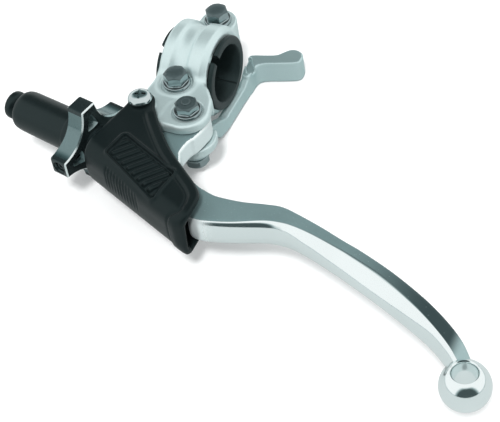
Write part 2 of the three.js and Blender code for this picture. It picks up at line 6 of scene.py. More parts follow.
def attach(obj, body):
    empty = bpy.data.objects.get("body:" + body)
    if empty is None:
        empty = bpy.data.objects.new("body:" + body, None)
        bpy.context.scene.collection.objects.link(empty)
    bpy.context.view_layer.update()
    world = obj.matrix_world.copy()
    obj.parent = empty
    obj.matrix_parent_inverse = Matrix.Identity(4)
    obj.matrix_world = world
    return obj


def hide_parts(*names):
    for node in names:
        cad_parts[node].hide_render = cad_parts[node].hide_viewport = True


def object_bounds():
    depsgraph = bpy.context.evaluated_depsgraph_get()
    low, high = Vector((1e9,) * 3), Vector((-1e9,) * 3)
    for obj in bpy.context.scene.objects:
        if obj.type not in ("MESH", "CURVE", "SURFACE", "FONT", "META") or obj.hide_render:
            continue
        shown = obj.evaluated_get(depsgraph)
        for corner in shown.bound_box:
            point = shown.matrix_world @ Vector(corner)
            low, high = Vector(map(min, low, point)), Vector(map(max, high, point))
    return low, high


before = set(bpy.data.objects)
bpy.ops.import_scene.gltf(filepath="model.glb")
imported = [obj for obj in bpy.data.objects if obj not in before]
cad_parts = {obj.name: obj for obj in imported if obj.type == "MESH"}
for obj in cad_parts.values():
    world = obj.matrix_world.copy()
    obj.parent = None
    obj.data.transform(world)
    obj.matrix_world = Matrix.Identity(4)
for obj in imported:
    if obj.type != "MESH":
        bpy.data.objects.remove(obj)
CAD_LO, CAD_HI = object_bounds()

# ---------------------------------------------------------------- camera
sc = bpy.context.scene
sc.view_settings.view_transform = "Standard"
sc.view_settings.look = "None"
RIGHT = Vector((0.90918, 0.39921, -0.11845))
UP = Vector((-0.21838, 0.69930, 0.68066))
BACK = Vector((0.35455, -0.59298, 0.72296))
cam_data = bpy.data.cameras.new("camera")
cam = bpy.data.objects.new("camera", cam_data)
sc.collection.objects.link(cam)
sc.camera = cam
cam_data.sensor_width = 36.0
cam_data.lens = 1560.82 * 36.0 / 500.0
cam_data.clip_start, cam_data.clip_end = 0.02, 30.0
rot = Matrix((RIGHT, UP, BACK)).transposed().to_4x4()
cam.matrix_world = Matrix.Translation((0.24124, -0.38571, 0.39294)) @ rot

# ---------------------------------------------------------------- dimensions, mm
BAR_R, BUSH_R, BUSH_FLANGE_R = 11.1, 13.0, 14.5
BUSH_X0, BUSH_X1 = -12.0, 11.4
CLAMP_X0, CLAMP_X1 = -9.7, 9.4
BOLT_Y, BOSS_R = 18.6, 7.3
TOP_Z, LOW_Z, SPLIT = 8.2, -8.2, 0.4
PIVOT = (10.3, -31.1)
EAR_IN, EAR_OUT = 4.5, 8.4
NIPPLE = (4.97, -54.39)
BALL, BALL_R = (142.6, -111.2), 8.4
ADJ_O = np.array([-55.08, -40.63])
ADJ_A = np.array([math.cos(math.radians(-12.9)), math.sin(math.radians(-12.9))])
ADJ_B = np.array([-ADJ_A[1], ADJ_A[0]])
COVER_TOP, COVER_WALL = 11.5, 2.2
COVER_SCREW = (-7.3, -33.7)
MM = 0.001


def adj(s, b=0.0):
    return ADJ_O + ADJ_A * s + ADJ_B * b


# ---------------------------------------------------------------- mesh helpers
def make(name, verts, faces, mats=(), index=None, smooth=40.0):
    me = bpy.data.meshes.new(name)
    me.from_pydata([tuple(v) for v in verts], [], [tuple(f) for f in faces])
    for m in mats:
        me.materials.append(m)
    if index is not None:
        me.polygons.foreach_set("material_index", np.asarray(index, np.int32))
    finish_mesh(me, smooth)
    ob = bpy.data.objects.new(name, me)
    sc.collection.objects.link(ob)
    return ob


def finish_mesh(me, smooth):
    me.validate(clean_customdata=False)
    me.polygons.foreach_set("use_smooth", np.ones(len(me.polygons), bool))
    if smooth is not None and smooth < 180:
        me.set_sharp_from_angle(angle=math.radians(smooth))
    me.update()


def recalc(ob, smooth=40.0):
    bm = bmesh.new()
    bm.from_mesh(ob.data)
    bmesh.ops.remove_doubles(bm, verts=bm.verts, dist=1e-6)
    bmesh.ops.recalc_face_normals(bm, faces=bm.faces)
    bm.to_mesh(ob.data)
    bm.free()
    finish_mesh(ob.data, smooth)


def boolean(ob, other, op, smooth=40.0):
    for solver in ("MANIFOLD", "EXACT"):
        m = ob.modifiers.new("join", "BOOLEAN")
        m.operation, m.object, m.solver = op, other, solver
        dg = bpy.context.evaluated_depsgraph_get()
        dg.update()
        me = bpy.data.meshes.new_from_object(ob.evaluated_get(dg))
        ob.modifiers.clear()
        if len(me.polygons) > 20:
            break
    ob.data = me
    bpy.data.objects.remove(other, do_unlink=True)
    finish_mesh(me, smooth)
    return ob


def rounded(prof, r, n=4, keep=()):
    """Rounds the corners of a profile of (radius, height) points."""
    out = []
    N = len(prof)
    for i, p in enumerate(prof):
        p = np.array(p[:2], float)
        rr = prof[i][2] if len(prof[i]) > 2 else r
        if i == 0 or i == N - 1 or rr <= 0 or p[0] < 1e-6:
            out.append(tuple(p))
            continue
        a = np.array(prof[i - 1][:2], float) - p
        b = np.array(prof[i + 1][:2], float) - p
        la, lb = np.linalg.norm(a), np.linalg.norm(b)
        t = min(rr, la * 0.48, lb * 0.48)
        A, B = p + a / la * t, p + b / lb * t
        for k in range(n + 1):
            u = k / n
            out.append(tuple((1 - u) ** 2 * A + 2 * u * (1 - u) * p + u * u * B))
    return out


def lathe(name, prof, seg, place, mats=(), matf=None, smooth=40.0, closed=None):
    """Turns a profile of (r, h) about an axis. place(r, angle, h) gives the point in mm."""
    prof = [(max(p[0], 0.0), p[1]) for p in prof]
    if closed is None:
        closed = prof[0][0] > 1e-6 or prof[-1][0] > 1e-6
    verts, rings = [], []
    for r, h in prof:
        if r < 1e-6:
            rings.append([len(verts)])
            verts.append(Vector(place(0.0, 0.0, h)) * MM)
        else:
            ring = []
            for k in range(seg):
                ring.append(len(verts))
                verts.append(Vector(place(r, 2 * math.pi * k / seg, h)) * MM)
            rings.append(ring)
    faces, index = [], []
    pairs = list(zip(range(len(rings) - 1), range(1, len(rings))))
    if closed:
        pairs.append((len(rings) - 1, 0))
    for i, j in pairs:
        A, B = rings[i], rings[j]
        mi = matf(i) if matf else 0
        for k in range(seg):
            l = (k + 1) % seg
            if len(A) == 1 and len(B) == 1:
                continue
            if len(A) == 1:
                faces.append((A[0], B[k], B[l]))
            elif len(B) == 1:
                faces.append((A[k], A[l], B[0]))
            else:
                faces.append((A[k], A[l], B[l], B[k]))
            index.append(mi)
    ob = make(name, verts, faces, mats, index, smooth)
    recalc(ob, smooth)
    return ob


def about_z(x, y):
    return lambda r, t, h: (x + r * math.cos(t), y + r * math.sin(t), h)


def about_x(r, t, h):
    return (h, r * math.cos(t), r * math.sin(t))


def about_adj(r, t, h):
    p = adj(h, r * math.cos(t))
    return (p[0], p[1], r * math.sin(t))


# distance fields ---------------------------------------------------------
F32 = np.float32


class Grid:
    def __init__(self, lo, hi, h):
        self.lo, self.h = np.array(lo, float), h
        n = [int(math.ceil((b - a) / h)) + 1 for a, b in zip(lo, hi)]
        ax = [(self.lo[i] + h * np.arange(n[i])).astype(F32) for i in range(3)]
        self.X, self.Y, self.Z = ax[0][:, None, None], ax[1][None, :, None], ax[2][None, None, :]
        self.n = n

    def full(self, F):
        return np.ascontiguousarray(np.broadcast_to(F, self.n)).astype(F32)


def smin(a, b, k):
    h = np.clip(0.5 + 0.5 * (b - a) / k, 0, 1)
    return b * (1 - h) + a * h - k * h * (1 - h)


def smax(a, b, k):
    return -smin(-a, -b, k)


def sstep(a, b, x):
    t = np.clip((x - a) / (b - a), 0, 1)
    return t * t * (3 - 2 * t)


def poly(P, X, Y, closed=True):
    P = np.array(P, float)
    X, Y = np.broadcast_arrays(X, Y)
    d = np.full(X.shape, 1e9, F32)
    inside = np.zeros(X.shape, bool)
    n = len(P)
    for i in range(n if closed else n - 1):
        a, b = P[i], P[(i + 1) % n]
        e = b - a
        wx, wy = X - a[0], Y - a[1]
        t = np.clip((wx * e[0] + wy * e[1]) / (e @ e + 1e-12), 0, 1)
        dx, dy = wx - e[0] * t, wy - e[1] * t
        d = np.minimum(d, dx * dx + dy * dy)
        if closed and a[1] != b[1]:
            c = (a[1] <= Y) != (b[1] <= Y)
            inside ^= c & (X < a[0] + (Y - a[1]) / (b[1] - a[1]) * e[0])
    d = np.sqrt(d)
    return np.where(inside, -d, d).astype(F32) if closed else d.astype(F32)


def extrude(d2, w, r=0.0):
    d2, w = d2 + r, w + r
    return np.minimum(np.maximum(d2, w), 0) + np.sqrt(np.maximum(d2, 0) ** 2 + np.maximum(w, 0) ** 2) - r


def slab(axis, a, b):
    return np.abs(axis - (a + b) / 2) - abs(b - a) / 2


def cyl(X, Y, Z, x, y, r, z0, z1, rr=0.0):
    return extrude(np.sqrt((X - x) ** 2 + (Y - y) ** 2) - r, slab(Z, z0, z1), rr)


def blur(T, s):
    n = int(3 * s) + 1
    k = np.exp(-0.5 * (np.arange(-n, n + 1) / s) ** 2)
    k /= k.sum()
    for ax in (0, 1):
        P = np.pad(T, [(n, n) if a == ax else (0, 0) for a in (0, 1)], mode="edge")
        T = sum(k[i] * np.take(P, np.arange(i, i + T.shape[ax]), axis=ax) for i in range(2 * n + 1))
    return T


def table2(P, lo, hi, step, sigma, U, W):
    """Distance to the outline P in (u, w) from lo to hi at the given step, blurred by sigma mm, returned with its axes
    for sample(). U and W are not used.
    """
    u = np.arange(lo[0], hi[0], step)
    w = np.arange(lo[1], hi[1], step)
    T = poly(P, u[:, None], w[None, :])
    if sigma:
        T = blur(T, sigma / step)
    return T, (u, w)


def sample(T, u, w, U, W):
    U, W = np.broadcast_arrays(U, W)
    du, dw = u[1] - u[0], w[1] - w[0]
    fu = np.clip((U - u[0]) / du, 0, len(u) - 1.001)
    fw = np.clip((W - w[0]) / dw, 0, len(w) - 1.001)
    i, j = fu.astype(np.int32), fw.astype(np.int32)
    a, b = (fu - i).astype(F32), (fw - j).astype(F32)
    return (T[i, j] * (1 - a) * (1 - b) + T[i + 1, j] * a * (1 - b) + T[i, j + 1] * (1 - a) * b + T[i + 1, j + 1] * a * b).astype(F32)


def nets(name, G, F, mats=(), smooth=180.0, tag=None):
    """Skin of the solid where F is negative."""
    F = G.full(F)
    F[0], F[-1], F[:, 0], F[:, -1], F[:, :, 0], F[:, :, -1] = 9, 9, 9, 9, 9, 9
    F = np.where(np.abs(F) < 1e-5, F32(1e-5), F)
    s = F < 0
    n = np.zeros([v - 1 for v in s.shape], np.uint8)
    for i in (0, 1):
        for j in (0, 1):
            for k in (0, 1):
                n += s[i:s.shape[0] - 1 + i, j:s.shape[1] - 1 + j, k:s.shape[2] - 1 + k]
    cells = np.argwhere((n > 0) & (n < 8))
    idx = np.full(n.shape, -1, np.int64)
    idx[tuple(cells.T)] = np.arange(len(cells))
    pos, cnt = np.zeros((len(cells), 3)), np.zeros(len(cells))
    for ax in range(3):
        o1, o2 = [a for a in range(3) if a != ax]
        for u in (0, 1):
            for v in (0, 1):
                a = cells.copy()
                a[:, o1] += u
                a[:, o2] += v
                b = a.copy()
                b[:, ax] += 1
                fa, fb = F[tuple(a.T)], F[tuple(b.T)]
                m = (fa < 0) != (fb < 0)
                t = fa[m] / (fa[m] - fb[m])
                p = np.zeros((m.sum(), 3))
                p[:, o1], p[:, o2], p[:, ax] = u, v, t
                pos[m] += p
                cnt[m] += 1
    verts = G.lo + G.h * (cells + pos / cnt[:, None])
    quads = []
    for ax in range(3):
        o1, o2 = [(1, 2), (2, 0), (0, 1)][ax]
        lo_s = s[tuple(slice(0, -1) if a == ax else slice(None) for a in range(3))]
        hi_s = s[tuple(slice(1, None) if a == ax else slice(None) for a in range(3))]
        E = np.argwhere(lo_s != hi_s)
        q = []
        for du, dv in ((1, 1), (0, 1), (0, 0), (1, 0)):
            c = E.copy()
            c[:, o1] -= du
            c[:, o2] -= dv
            q.append(idx[tuple(c.T)])
        q = np.stack(q, 1)
        inside = lo_s[tuple(E.T)]
        quads.append(np.where(inside[:, None], q, q[:, ::-1]))
    quads = np.concatenate(quads)
    me = bpy.data.meshes.new(name)
    me.vertices.add(len(verts))
    me.vertices.foreach_set("co", (verts * MM).astype(F32).ravel())
    me.loops.add(len(quads) * 4)
    me.loops.foreach_set("vertex_index", quads.astype(np.int32).ravel())
    me.polygons.add(len(quads))
    me.polygons.foreach_set("loop_start", np.arange(0, len(quads) * 4, 4, dtype=np.int32))
    me.polygons.foreach_set("loop_total", np.full(len(quads), 4, np.int32))
    for m in mats:
        me.materials.append(m)
    me.update(calc_edges=True)
    if tag is not None:
        c = verts[quads].mean(1)
        e1, e2 = verts[quads[:, 2]] - verts[quads[:, 0]], verts[quads[:, 3]] - verts[quads[:, 1]]
        nn = np.cross(e1, e2)
        nn /= np.linalg.norm(nn, axis=1)[:, None] + 1e-12
        me.polygons.foreach_set("material_index", tag(c, nn).astype(np.int32))
    finish_mesh(me, smooth)
    ob = bpy.data.objects.new(name, me)
    sc.collection.objects.link(ob)
    return ob


def arc(cx, cy, r, a0, a1, n):
    return [(cx + r * math.cos(math.radians(a0 + (a1 - a0) * i / n)), cy + r * math.sin(math.radians(a0 + (a1 - a0) * i / n))) for i in range(n + 1)]


def spline(P, n, closed=False):
    P = np.array(P, float)
    K = len(P)
    if closed:
        T = (np.roll(P, -1, 0) - np.roll(P, 1, 0)) / 2
        segs = K
    else:
        T = np.empty_like(P)
        T[1:-1] = (P[2:] - P[:-2]) / 2
        T[0], T[-1] = P[1] - P[0], P[-1] - P[-2]
        segs = K - 1
    out = []
    for k in range(n + (0 if closed else 1)):
        t = k / n * segs
        j = min(int(t), segs - 1)
        f = t - j
        a, b, ta, tb = P[j], P[(j + 1) % K], T[j], T[(j + 1) % K]
        out.append((2 * f**3 - 3 * f**2 + 1) * a + (f**3 - 2 * f**2 + f) * ta + (3 * f**2 - 2 * f**3) * b + (f**3 - f**2) * tb)
    return np.array(out)


# ---------------------------------------------------------------- materials
def material(name, base, metallic=0.0, rough=0.5, spec=0.5, grain=(900.0, 0.08, 0.00004), vary=0.12, rvary=0.08,
             stretch=None, wear=None, aniso=0.0, coat=0.0, coat_rough=0.1, spots=None, along=None):
    m = bpy.data.materials.new(name)
    m.use_nodes = True
    nt = m.node_tree
    N, L = nt.nodes, nt.links
    p = next(n for n in N if n.type == "BSDF_PRINCIPLED")
    p.inputs["Metallic"].default_value = metallic
    p.inputs["Specular IOR Level"].default_value = spec
    if metallic < 0.5:
        p.inputs["Specular Tint"].default_value = (0.72, 1.0, 1.0, 1)
    p.inputs["Coat Weight"].default_value = coat
    p.inputs["Coat Roughness"].default_value = coat_rough
    p.inputs["Anisotropic"].default_value = aniso
    tc = N.new("ShaderNodeTexCoord")
    src = tc.outputs["Object"]
    if stretch:
        mp = N.new("ShaderNodeMapping")
        mp.inputs["Rotation"].default_value = (0, 0, stretch[1])
        mp.inputs["Scale"].default_value = stretch[0]
        L.new(src, mp.inputs["Vector"])
        src = mp.outputs["Vector"]
    fine = N.new("ShaderNodeTexNoise")
    fine.inputs["Scale"].default_value = grain[0]
    fine.inputs["Detail"].default_value = 3.0
    L.new(src, fine.inputs["Vector"])
    broad = N.new("ShaderNodeTexNoise")
    broad.inputs["Scale"].default_value = 55.0
    broad.inputs["Detail"].default_value = 4.0
    L.new(tc.outputs["Object"], broad.inputs["Vector"])
    ramp = N.new("ShaderNodeValToRGB")
    lo = tuple(c * (1 - vary) for c in base)
    hi = tuple(min(1.0, c * (1 + vary)) for c in base)
    ramp.color_ramp.elements[0].position, ramp.color_ramp.elements[1].position = 0.3, 0.7
    ramp.color_ramp.elements[0].color = (*lo, 1)
    ramp.color_ramp.elements[1].color = (*hi, 1)
    mixf = N.new("ShaderNodeMath")
    mixf.operation = "MULTIPLY_ADD"
    mixf.inputs[1].default_value = 0.45
    L.new(fine.outputs["Fac"], mixf.inputs[0])
    half = N.new("ShaderNodeMath")
    half.operation = "MULTIPLY"
    half.inputs[1].default_value = 0.55
    L.new(broad.outputs["Fac"], half.inputs[0])
    L.new(half.outputs[0], mixf.inputs[2])
    L.new(mixf.outputs[0], ramp.inputs["Fac"])
    colour = ramp.outputs["Color"]
    if wear:
        geo = N.new("ShaderNodeNewGeometry")
        edge = N.new("ShaderNodeMapRange")
        edge.inputs["From Min"].default_value, edge.inputs["From Max"].default_value = wear[1], wear[2]
        L.new(geo.outputs["Pointiness"], edge.inputs["Value"])
        mx = N.new("ShaderNodeMix")
        mx.data_type = "RGBA"
        mx.inputs[7].default_value = (*wear[0], 1)
        L.new(edge.outputs["Result"], mx.inputs[0])
        L.new(colour, mx.inputs[6])
        colour = mx.outputs[2]
    if along:
        sx = N.new("ShaderNodeSeparateXYZ")
        L.new(tc.outputs["Object"], sx.inputs[0])
        for a, b, c in along:
            mr = N.new("ShaderNodeMapRange")
            mr.interpolation_type = "SMOOTHSTEP"
            mr.inputs["From Min"].default_value, mr.inputs["From Max"].default_value = a, b
            L.new(sx.outputs["X"], mr.inputs["Value"])
            mx = N.new("ShaderNodeMix")
            mx.data_type = "RGBA"
            mx.inputs[7].default_value = (*c, 1)
            L.new(mr.outputs["Result"], mx.inputs[0])
            L.new(colour, mx.inputs[6])
            colour = mx.outputs[2]
    if spots:
        vor = N.new("ShaderNodeTexVoronoi")
        vor.inputs["Scale"].default_value = spots[0]
        L.new(tc.outputs["Object"], vor.inputs["Vector"])
        sm = N.new("ShaderNodeMapRange")
        sm.inputs["From Min"].default_value, sm.inputs["From Max"].default_value = spots[1], 0.0
        L.new(vor.outputs["Distance"], sm.inputs["Value"])
        mx = N.new("ShaderNodeMix")
        mx.data_type = "RGBA"
        mx.inputs[7].default_value = (*spots[2], 1)
        L.new(sm.outputs["Result"], mx.inputs[0])
        L.new(colour, mx.inputs[6])
        colour = mx.outputs[2]
    L.new(colour, p.inputs["Base Color"])
    rr = N.new("ShaderNodeMapRange")
    rr.inputs["To Min"].default_value, rr.inputs["To Max"].default_value = max(0.02, rough - rvary), min(1, rough + rvary)
    rr.inputs["From Min"].default_value, rr.inputs["From Max"].default_value = 0.3, 0.7
    L.new(mixf.outputs[0], rr.inputs["Value"])
    L.new(rr.outputs["Result"], p.inputs["Roughness"])
    bump = N.new("ShaderNodeBump")
    bump.inputs["Strength"].default_value = grain[1]
    bump.inputs["Distance"].default_value = grain[2]
    L.new(fine.outputs["Fac"], bump.inputs["Height"])
    L.new(bump.outputs["Normal"], p.inputs["Normal"])
    return m


M = {}
M["cast"] = material("cast_aluminium_satin", (0.62, 0.745, 0.745), 0.62, 0.40, grain=(1400, 0.25, 0.00004), vary=0.05, rvary=0.05)
M["root"] = material("lever_root_bright", (0.80, 0.90, 0.90), 0.55, 0.34, grain=(1400, 0.2, 0.00004), vary=0.04, rvary=0.05)
M["thumb"] = material("thumb_lever_satin", (0.47, 0.60, 0.605), 0.45, 0.42, grain=(2200, 0.35, 0.00004), vary=0.04, rvary=0.05)
# painted shade: a darker copy of the thumb lever satin for the top of the paddle
M["thumb_top"] = material("thumb_lever_satin_top_painted_shade", (0.27, 0.36, 0.365), 0.45, 0.42, grain=(2200, 0.35, 0.00004), vary=0.05, rvary=0.05)
M["matte"] = material("lever_blasted_grey", (0.17, 0.25, 0.256), 0.30, 0.50, grain=(2600, 0.5, 0.00005), vary=0.12, rvary=0.06,
                      spots=(700.0, 0.10, (0.50, 0.62, 0.62)), along=((0.084, 0.126, (0.035, 0.055, 0.058)), (0.1335, 0.1385, (0.34, 0.45, 0.455))))
M["polish"] = material("lever_polished_aluminium", (0.86, 0.93, 0.93), 1.0, 0.11, grain=(1500, 0.05, 0.00002), vary=0.03, rvary=0.03,
                       stretch=((0.3, 6, 6), -0.35))
M["zinc"] = material("zinc_plated_steel", (0.31, 0.385, 0.395), 1.0, 0.13, grain=(420, 0.35, 0.00010), vary=0.12, rvary=0.06)
# painted shade: a darker zinc for the crowns of the bolt heads, the tops painted darker than the sides
M["zinc_top"] = material("zinc_plated_steel_crown_painted_shade", (0.085, 0.118, 0.122), 0.6, 0.30, grain=(380, 0.6, 0.00018), vary=0.18, rvary=0.08)
# painted shade: a near-black zinc for the flange top under the hexagon, where shade falls in the groove
M["groove"] = material("zinc_plated_steel_flange_painted_shade", (0.05, 0.066, 0.068), 0.8, 0.28, grain=(420, 0.35, 0.00010), vary=0.2, rvary=0.06)
M["chrome"] = material("chromed_steel", (0.58, 0.66, 0.665), 1.0, 0.07, grain=(500, 0.04, 0.00003), vary=0.04, rvary=0.02)
M["rubber"] = material("black_rubber", (0.0048, 0.0080, 0.0085), 0.0, 0.38, spec=0.24, grain=(1700, 0.30, 0.00005), vary=0.14, rvary=0.06)
M["boot"] = material("black_rubber_boot", (0.0050, 0.0082, 0.0087), 0.0, 0.34, spec=0.34, grain=(1500, 0.28, 0.00005), vary=0.14, rvary=0.06,
                     spots=(420.0, 0.06, (0.05, 0.07, 0.072)))
M["anod"] = material("black_anodised", (0.010, 0.015, 0.016), 0.0, 0.24, spec=0.55, grain=(1600, 0.12, 0.00003), vary=0.15, rvary=0.05)
M["flank"] = material("black_anodised_turned", (0.17, 0.245, 0.25), 1.0, 0.17, grain=(1300, 0.12, 0.00003), vary=0.10, rvary=0.05)
M["edge"] = material("machined_edge", (0.78, 0.86, 0.86), 1.0, 0.20, grain=(1200, 0.15, 0.00003), vary=0.06, rvary=0.05)
M["pocket"] = material("milled_pocket", (0.26, 0.34, 0.345), 0.9, 0.30, grain=(700, 0.5, 0.0001), vary=0.3, rvary=0.1)
M["comp"] = material("black_composite", (0.011, 0.017, 0.0175), 0.0, 0.42, spec=0.35, grain=(1300, 0.25, 0.00004), vary=0.15, rvary=0.06)
M["bronze"] = material("sintered_bronze", (0.44, 0.31, 0.15), 1.0, 0.38, grain=(2400, 0.4, 0.00004), vary=0.15, rvary=0.08)
M["steel"] = material("plain_steel", (0.45, 0.52, 0.53), 1.0, 0.25, grain=(900, 0.2, 0.00004), vary=0.1, rvary=0.06)



def satin_start(m, a, b, rough, metal):
    """The polish begins as a satin finish where x is a and is full where x is b."""
    N, L = m.node_tree.nodes, m.node_tree.links
    p = next(n for n in N if n.type == "BSDF_PRINCIPLED")
    tc = next(n for n in N if n.type == "TEX_COORD")
    sx = N.new("ShaderNodeSeparateXYZ")
    L.new(tc.outputs["Object"], sx.inputs[0])
    outs = []
    for u, v in ((rough, 0.0), (metal, 1.0)):
        mr = N.new("ShaderNodeMapRange")
        mr.interpolation_type = "SMOOTHSTEP"
        mr.inputs["From Min"].default_value, mr.inputs["From Max"].default_value = a, b
        mr.inputs["To Min"].default_value, mr.inputs["To Max"].default_value = u, v
        L.new(sx.outputs["X"], mr.inputs["Value"])
        outs.append(mr.outputs["Result"])
    add = N.new("ShaderNodeMath")
    add.operation = "ADD"
    L.new(p.inputs["Roughness"].links[0].from_socket, add.inputs[0])
    L.new(outs[0], add.inputs[1])
    L.new(add.outputs[0], p.inputs["Roughness"])
    L.new(outs[1], p.inputs["Metallic"])


satin_start(M["polish"], 0.0350, 0.0420, 0.24, 0.50)

pieces = {}


def piece(ob, body, slot, *nodes):
    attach(ob, body)
    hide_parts(*nodes)
    pieces[ob.name] = ob
    return ob


# ---------------------------------------------------------------- bar clamp and perch
RING = [
    (13.3, CLAMP_X0), (16.6, CLAMP_X0), (17.6, CLAMP_X0 + 1.0), (17.6, -5.2), (16.6, -4.0), (16.2, -2.6), (16.2, -0.4),
    (16.7, 1.2), (17.6, 2.4), (17.6, 7.4), (15.9, CLAMP_X1), (13.3, CLAMP_X1),
]


def ring_field(G):
    T, (u, w) = table2(RING, (8, -15), (26, 15), 0.1, 0.24, None, None)
    R = np.sqrt(G.Y**2 + G.Z**2)
    return sample(T, u, w, R, G.X), R


def clamp_lower():
    G = Grid((-14, -28, -20), (14, 28, 1.5), 0.4)
    F, R = ring_field(G)
    for s in (-1, 1):
        F = smin(F, cyl(G.X, G.Y, G.Z, 0, s * BOLT_Y, BOSS_R, LOW_Z, 2, 0.7), 2.4)
    F = smax(F, G.Z + SPLIT, 0.5)
    F = smax(F, 13.3 - R, 0.4)
    for s in (-1, 1):
        F = smax(F, -cyl(G.X, G.Y, G.Z, 0, s * BOLT_Y, 3.3, -14, 3), 0.4)
    return nets("clamp_half_lower_skin", G, F, [M["cast"]])


def perch():
    G = Grid((-18, -51, -9.5), (21.5, 27.5, 19.5), 0.4)
    X, Y, Z = G.X, G.Y, G.Z
    F, R = ring_field(G)
    F = smax(F, SPLIT - Z, 0.4)
    for s in (-1, 1):
        F = smin(F, cyl(X, Y, Z, 0, s * BOLT_Y, BOSS_R, SPLIT, TOP_Z, 0.8), 2.4)
    outline = [(-9.6, -11.5), (-9.9, -20.0), (-10.4, -26.0), (-12.0, -32.0), (-13.2, -40.0), (-2.0, -40.2),
               *arc(PIVOT[0] - 0.9, PIVOT[1], 9.2, 262, 372, 18), (16.4, -22.6), (12.6, -17.6), (9.3, -14.6), (9.3, -11.5)]
    T = poly(outline, X, Y)
    T = blur(T[:, :, 0], 1.2)[:, :, None]
    deck = extrude(T, slab(Z, SPLIT, TOP_Z), 1.5)
    F = smin(F, deck, 2.2)
    ear = poly([(-10.4, -27.2), (-12.0, -32.0), (-13.2, -40.0), (-2.0, -40.2), *arc(PIVOT[0], PIVOT[1], 9.2, 262, 400, 18), (10.0, -26.6)], X, Y)
    F = smin(F, extrude(ear, slab(Z, -EAR_OUT, -EAR_IN), 0.8), 0.8)
    web = poly([(-10.4, -27.2), (-12.0, -32.0), (-13.4, -44.5), (-3.0, -48.0), (-1.6, -42.0), (1.5, -37.0), (1.5, -31.0), (2.6, -27.2)], X, Y)
    F = smin(F, extrude(web, slab(Z, -EAR_OUT, TOP_Z), 0.8), 1.2)
    S = (X - ADJ_O[0]) * ADJ_A[0] + (Y - ADJ_O[1]) * ADJ_A[1]
    Bq = (X - ADJ_O[0]) * ADJ_B[0] + (Y - ADJ_O[1]) * ADJ_B[1]
    RA = np.sqrt(Bq**2 + Z**2)
    F = smin(F, extrude(RA - 9.0, slab(S, 41.0, 53.0), 0.8), 1.2)
    F = smin(F, cyl(X, Y, Z, *COVER_SCREW, 5.2, 6, 9.0, 0.4), 0.6)
    # clearances
    F = smax(F, 13.3 - R, 0.4)
    for x0, x1 in ((CLAMP_X1, 14.0), (-15.0, CLAMP_X0)):
        F = smax(F, -extrude(R - 14.9, slab(X, x0, x1)), 0.4)
    F = smax(F, -cyl(X, Y, Z, *PIVOT, 8.2, -EAR_IN, EAR_IN), 0.4)
    sp = poly([(2.0, -31), (0.9, -41), (-2.6, -50), (-2.6, -60), (30, -60), (30, -24), (12, -24)], X, Y)
    F = smax(F, -extrude(sp, slab(Z, -EAR_IN, EAR_IN)), 0.5)
    F = smax(F, -extrude(RA - 5.3, slab(S, 30, 60)), 0.3)
    F = smax(F, -np.maximum(np.maximum(slab(Z, -1.7, 1.7), Bq), slab(S, 34, 64)), 0.3)
    F = smax(F, -cyl(X, Y, Z, 0, -BOLT_Y, BOSS_R + 0.3, -12, SPLIT), 0.4)
    F = smax(F, -cyl(X, Y, Z, *PIVOT, 5.85, TOP_Z - 0.7, 14), 0.5)
    for s in (-1, 1):
        F = smax(F, -cyl(X, Y, Z, 0, s * BOLT_Y, 5.95, TOP_Z - 0.1, 24), 0.7)
        F = smax(F, -cyl(X, Y, Z, 0, s * BOLT_Y, 3.3, -1, 12), 0.3)
    F = smax(F, -cyl(X, Y, Z, *PIVOT, 3.3, -12, 12), 0.3)
    F = smax(F, -cyl(X, Y, Z, *COVER_SCREW, 2.2, -3, 12), 0.3)
    F = smax(F, -cyl(X, Y, Z, *adj(46), 1.8, 2, 12), 0.3)
    return nets("perch_casting", G, F, [M["cast"]])


piece(perch(), "perch", "cast_aluminium", "perch_body")
piece(clamp_lower(), "perch", "cast_aluminium", "clamp_half_lower")


def bushing():
    prof = rounded([(BAR_R, BUSH_X0), (BUSH_FLANGE_R, BUSH_X0, 0.7), (BUSH_FLANGE_R, CLAMP_X0 - 0.3, 0.3), (BUSH_R, CLAMP_X0 - 0.3, 0.1),
                    (BUSH_R, CLAMP_X1 + 0.3, 0.1), (BUSH_FLANGE_R, CLAMP_X1 + 0.3, 0.3), (BUSH_FLANGE_R, BUSH_X1, 0.8),
                    (BAR_R + 0.35, BUSH_X1, 0.2), (BAR_R, BUSH_X1 - 0.5)], 0.3)
    ob = lathe("bar_bushing_sleeve", prof, 128, about_x, [M["comp"]], closed=True)
    sl = math.hypot(6.9, 12.8)
    sy, sz = -6.9 / sl, 12.8 / sl

    def bar(name, w, r0, r1, sign):
        v = []
        for x in (-20, 20):
            for r in (r0, r1):
                for t in (-w, w):
                    v.append(Vector((x, sign * (sy * r) - sz * t, sign * (sz * r) + sy * t)) * MM)
        f = [(0, 1, 3, 2), (4, 6, 7, 5), (0, 4, 5, 1), (2, 3, 7, 6), (0, 2, 6, 4), (1, 5, 7, 3)]
        o = make(name, v, f, [M["comp"]])
        recalc(o)
        return o

    boolean(ob, bar("slit", 1.5, 5, 20, 1), "DIFFERENCE")
    boolean(ob, bar("seam", 0.35, BAR_R - 2, BAR_R + 0.5, -1), "DIFFERENCE")
    return ob


piece(bushing(), "bushing", "black_composite", "bar_bushing")


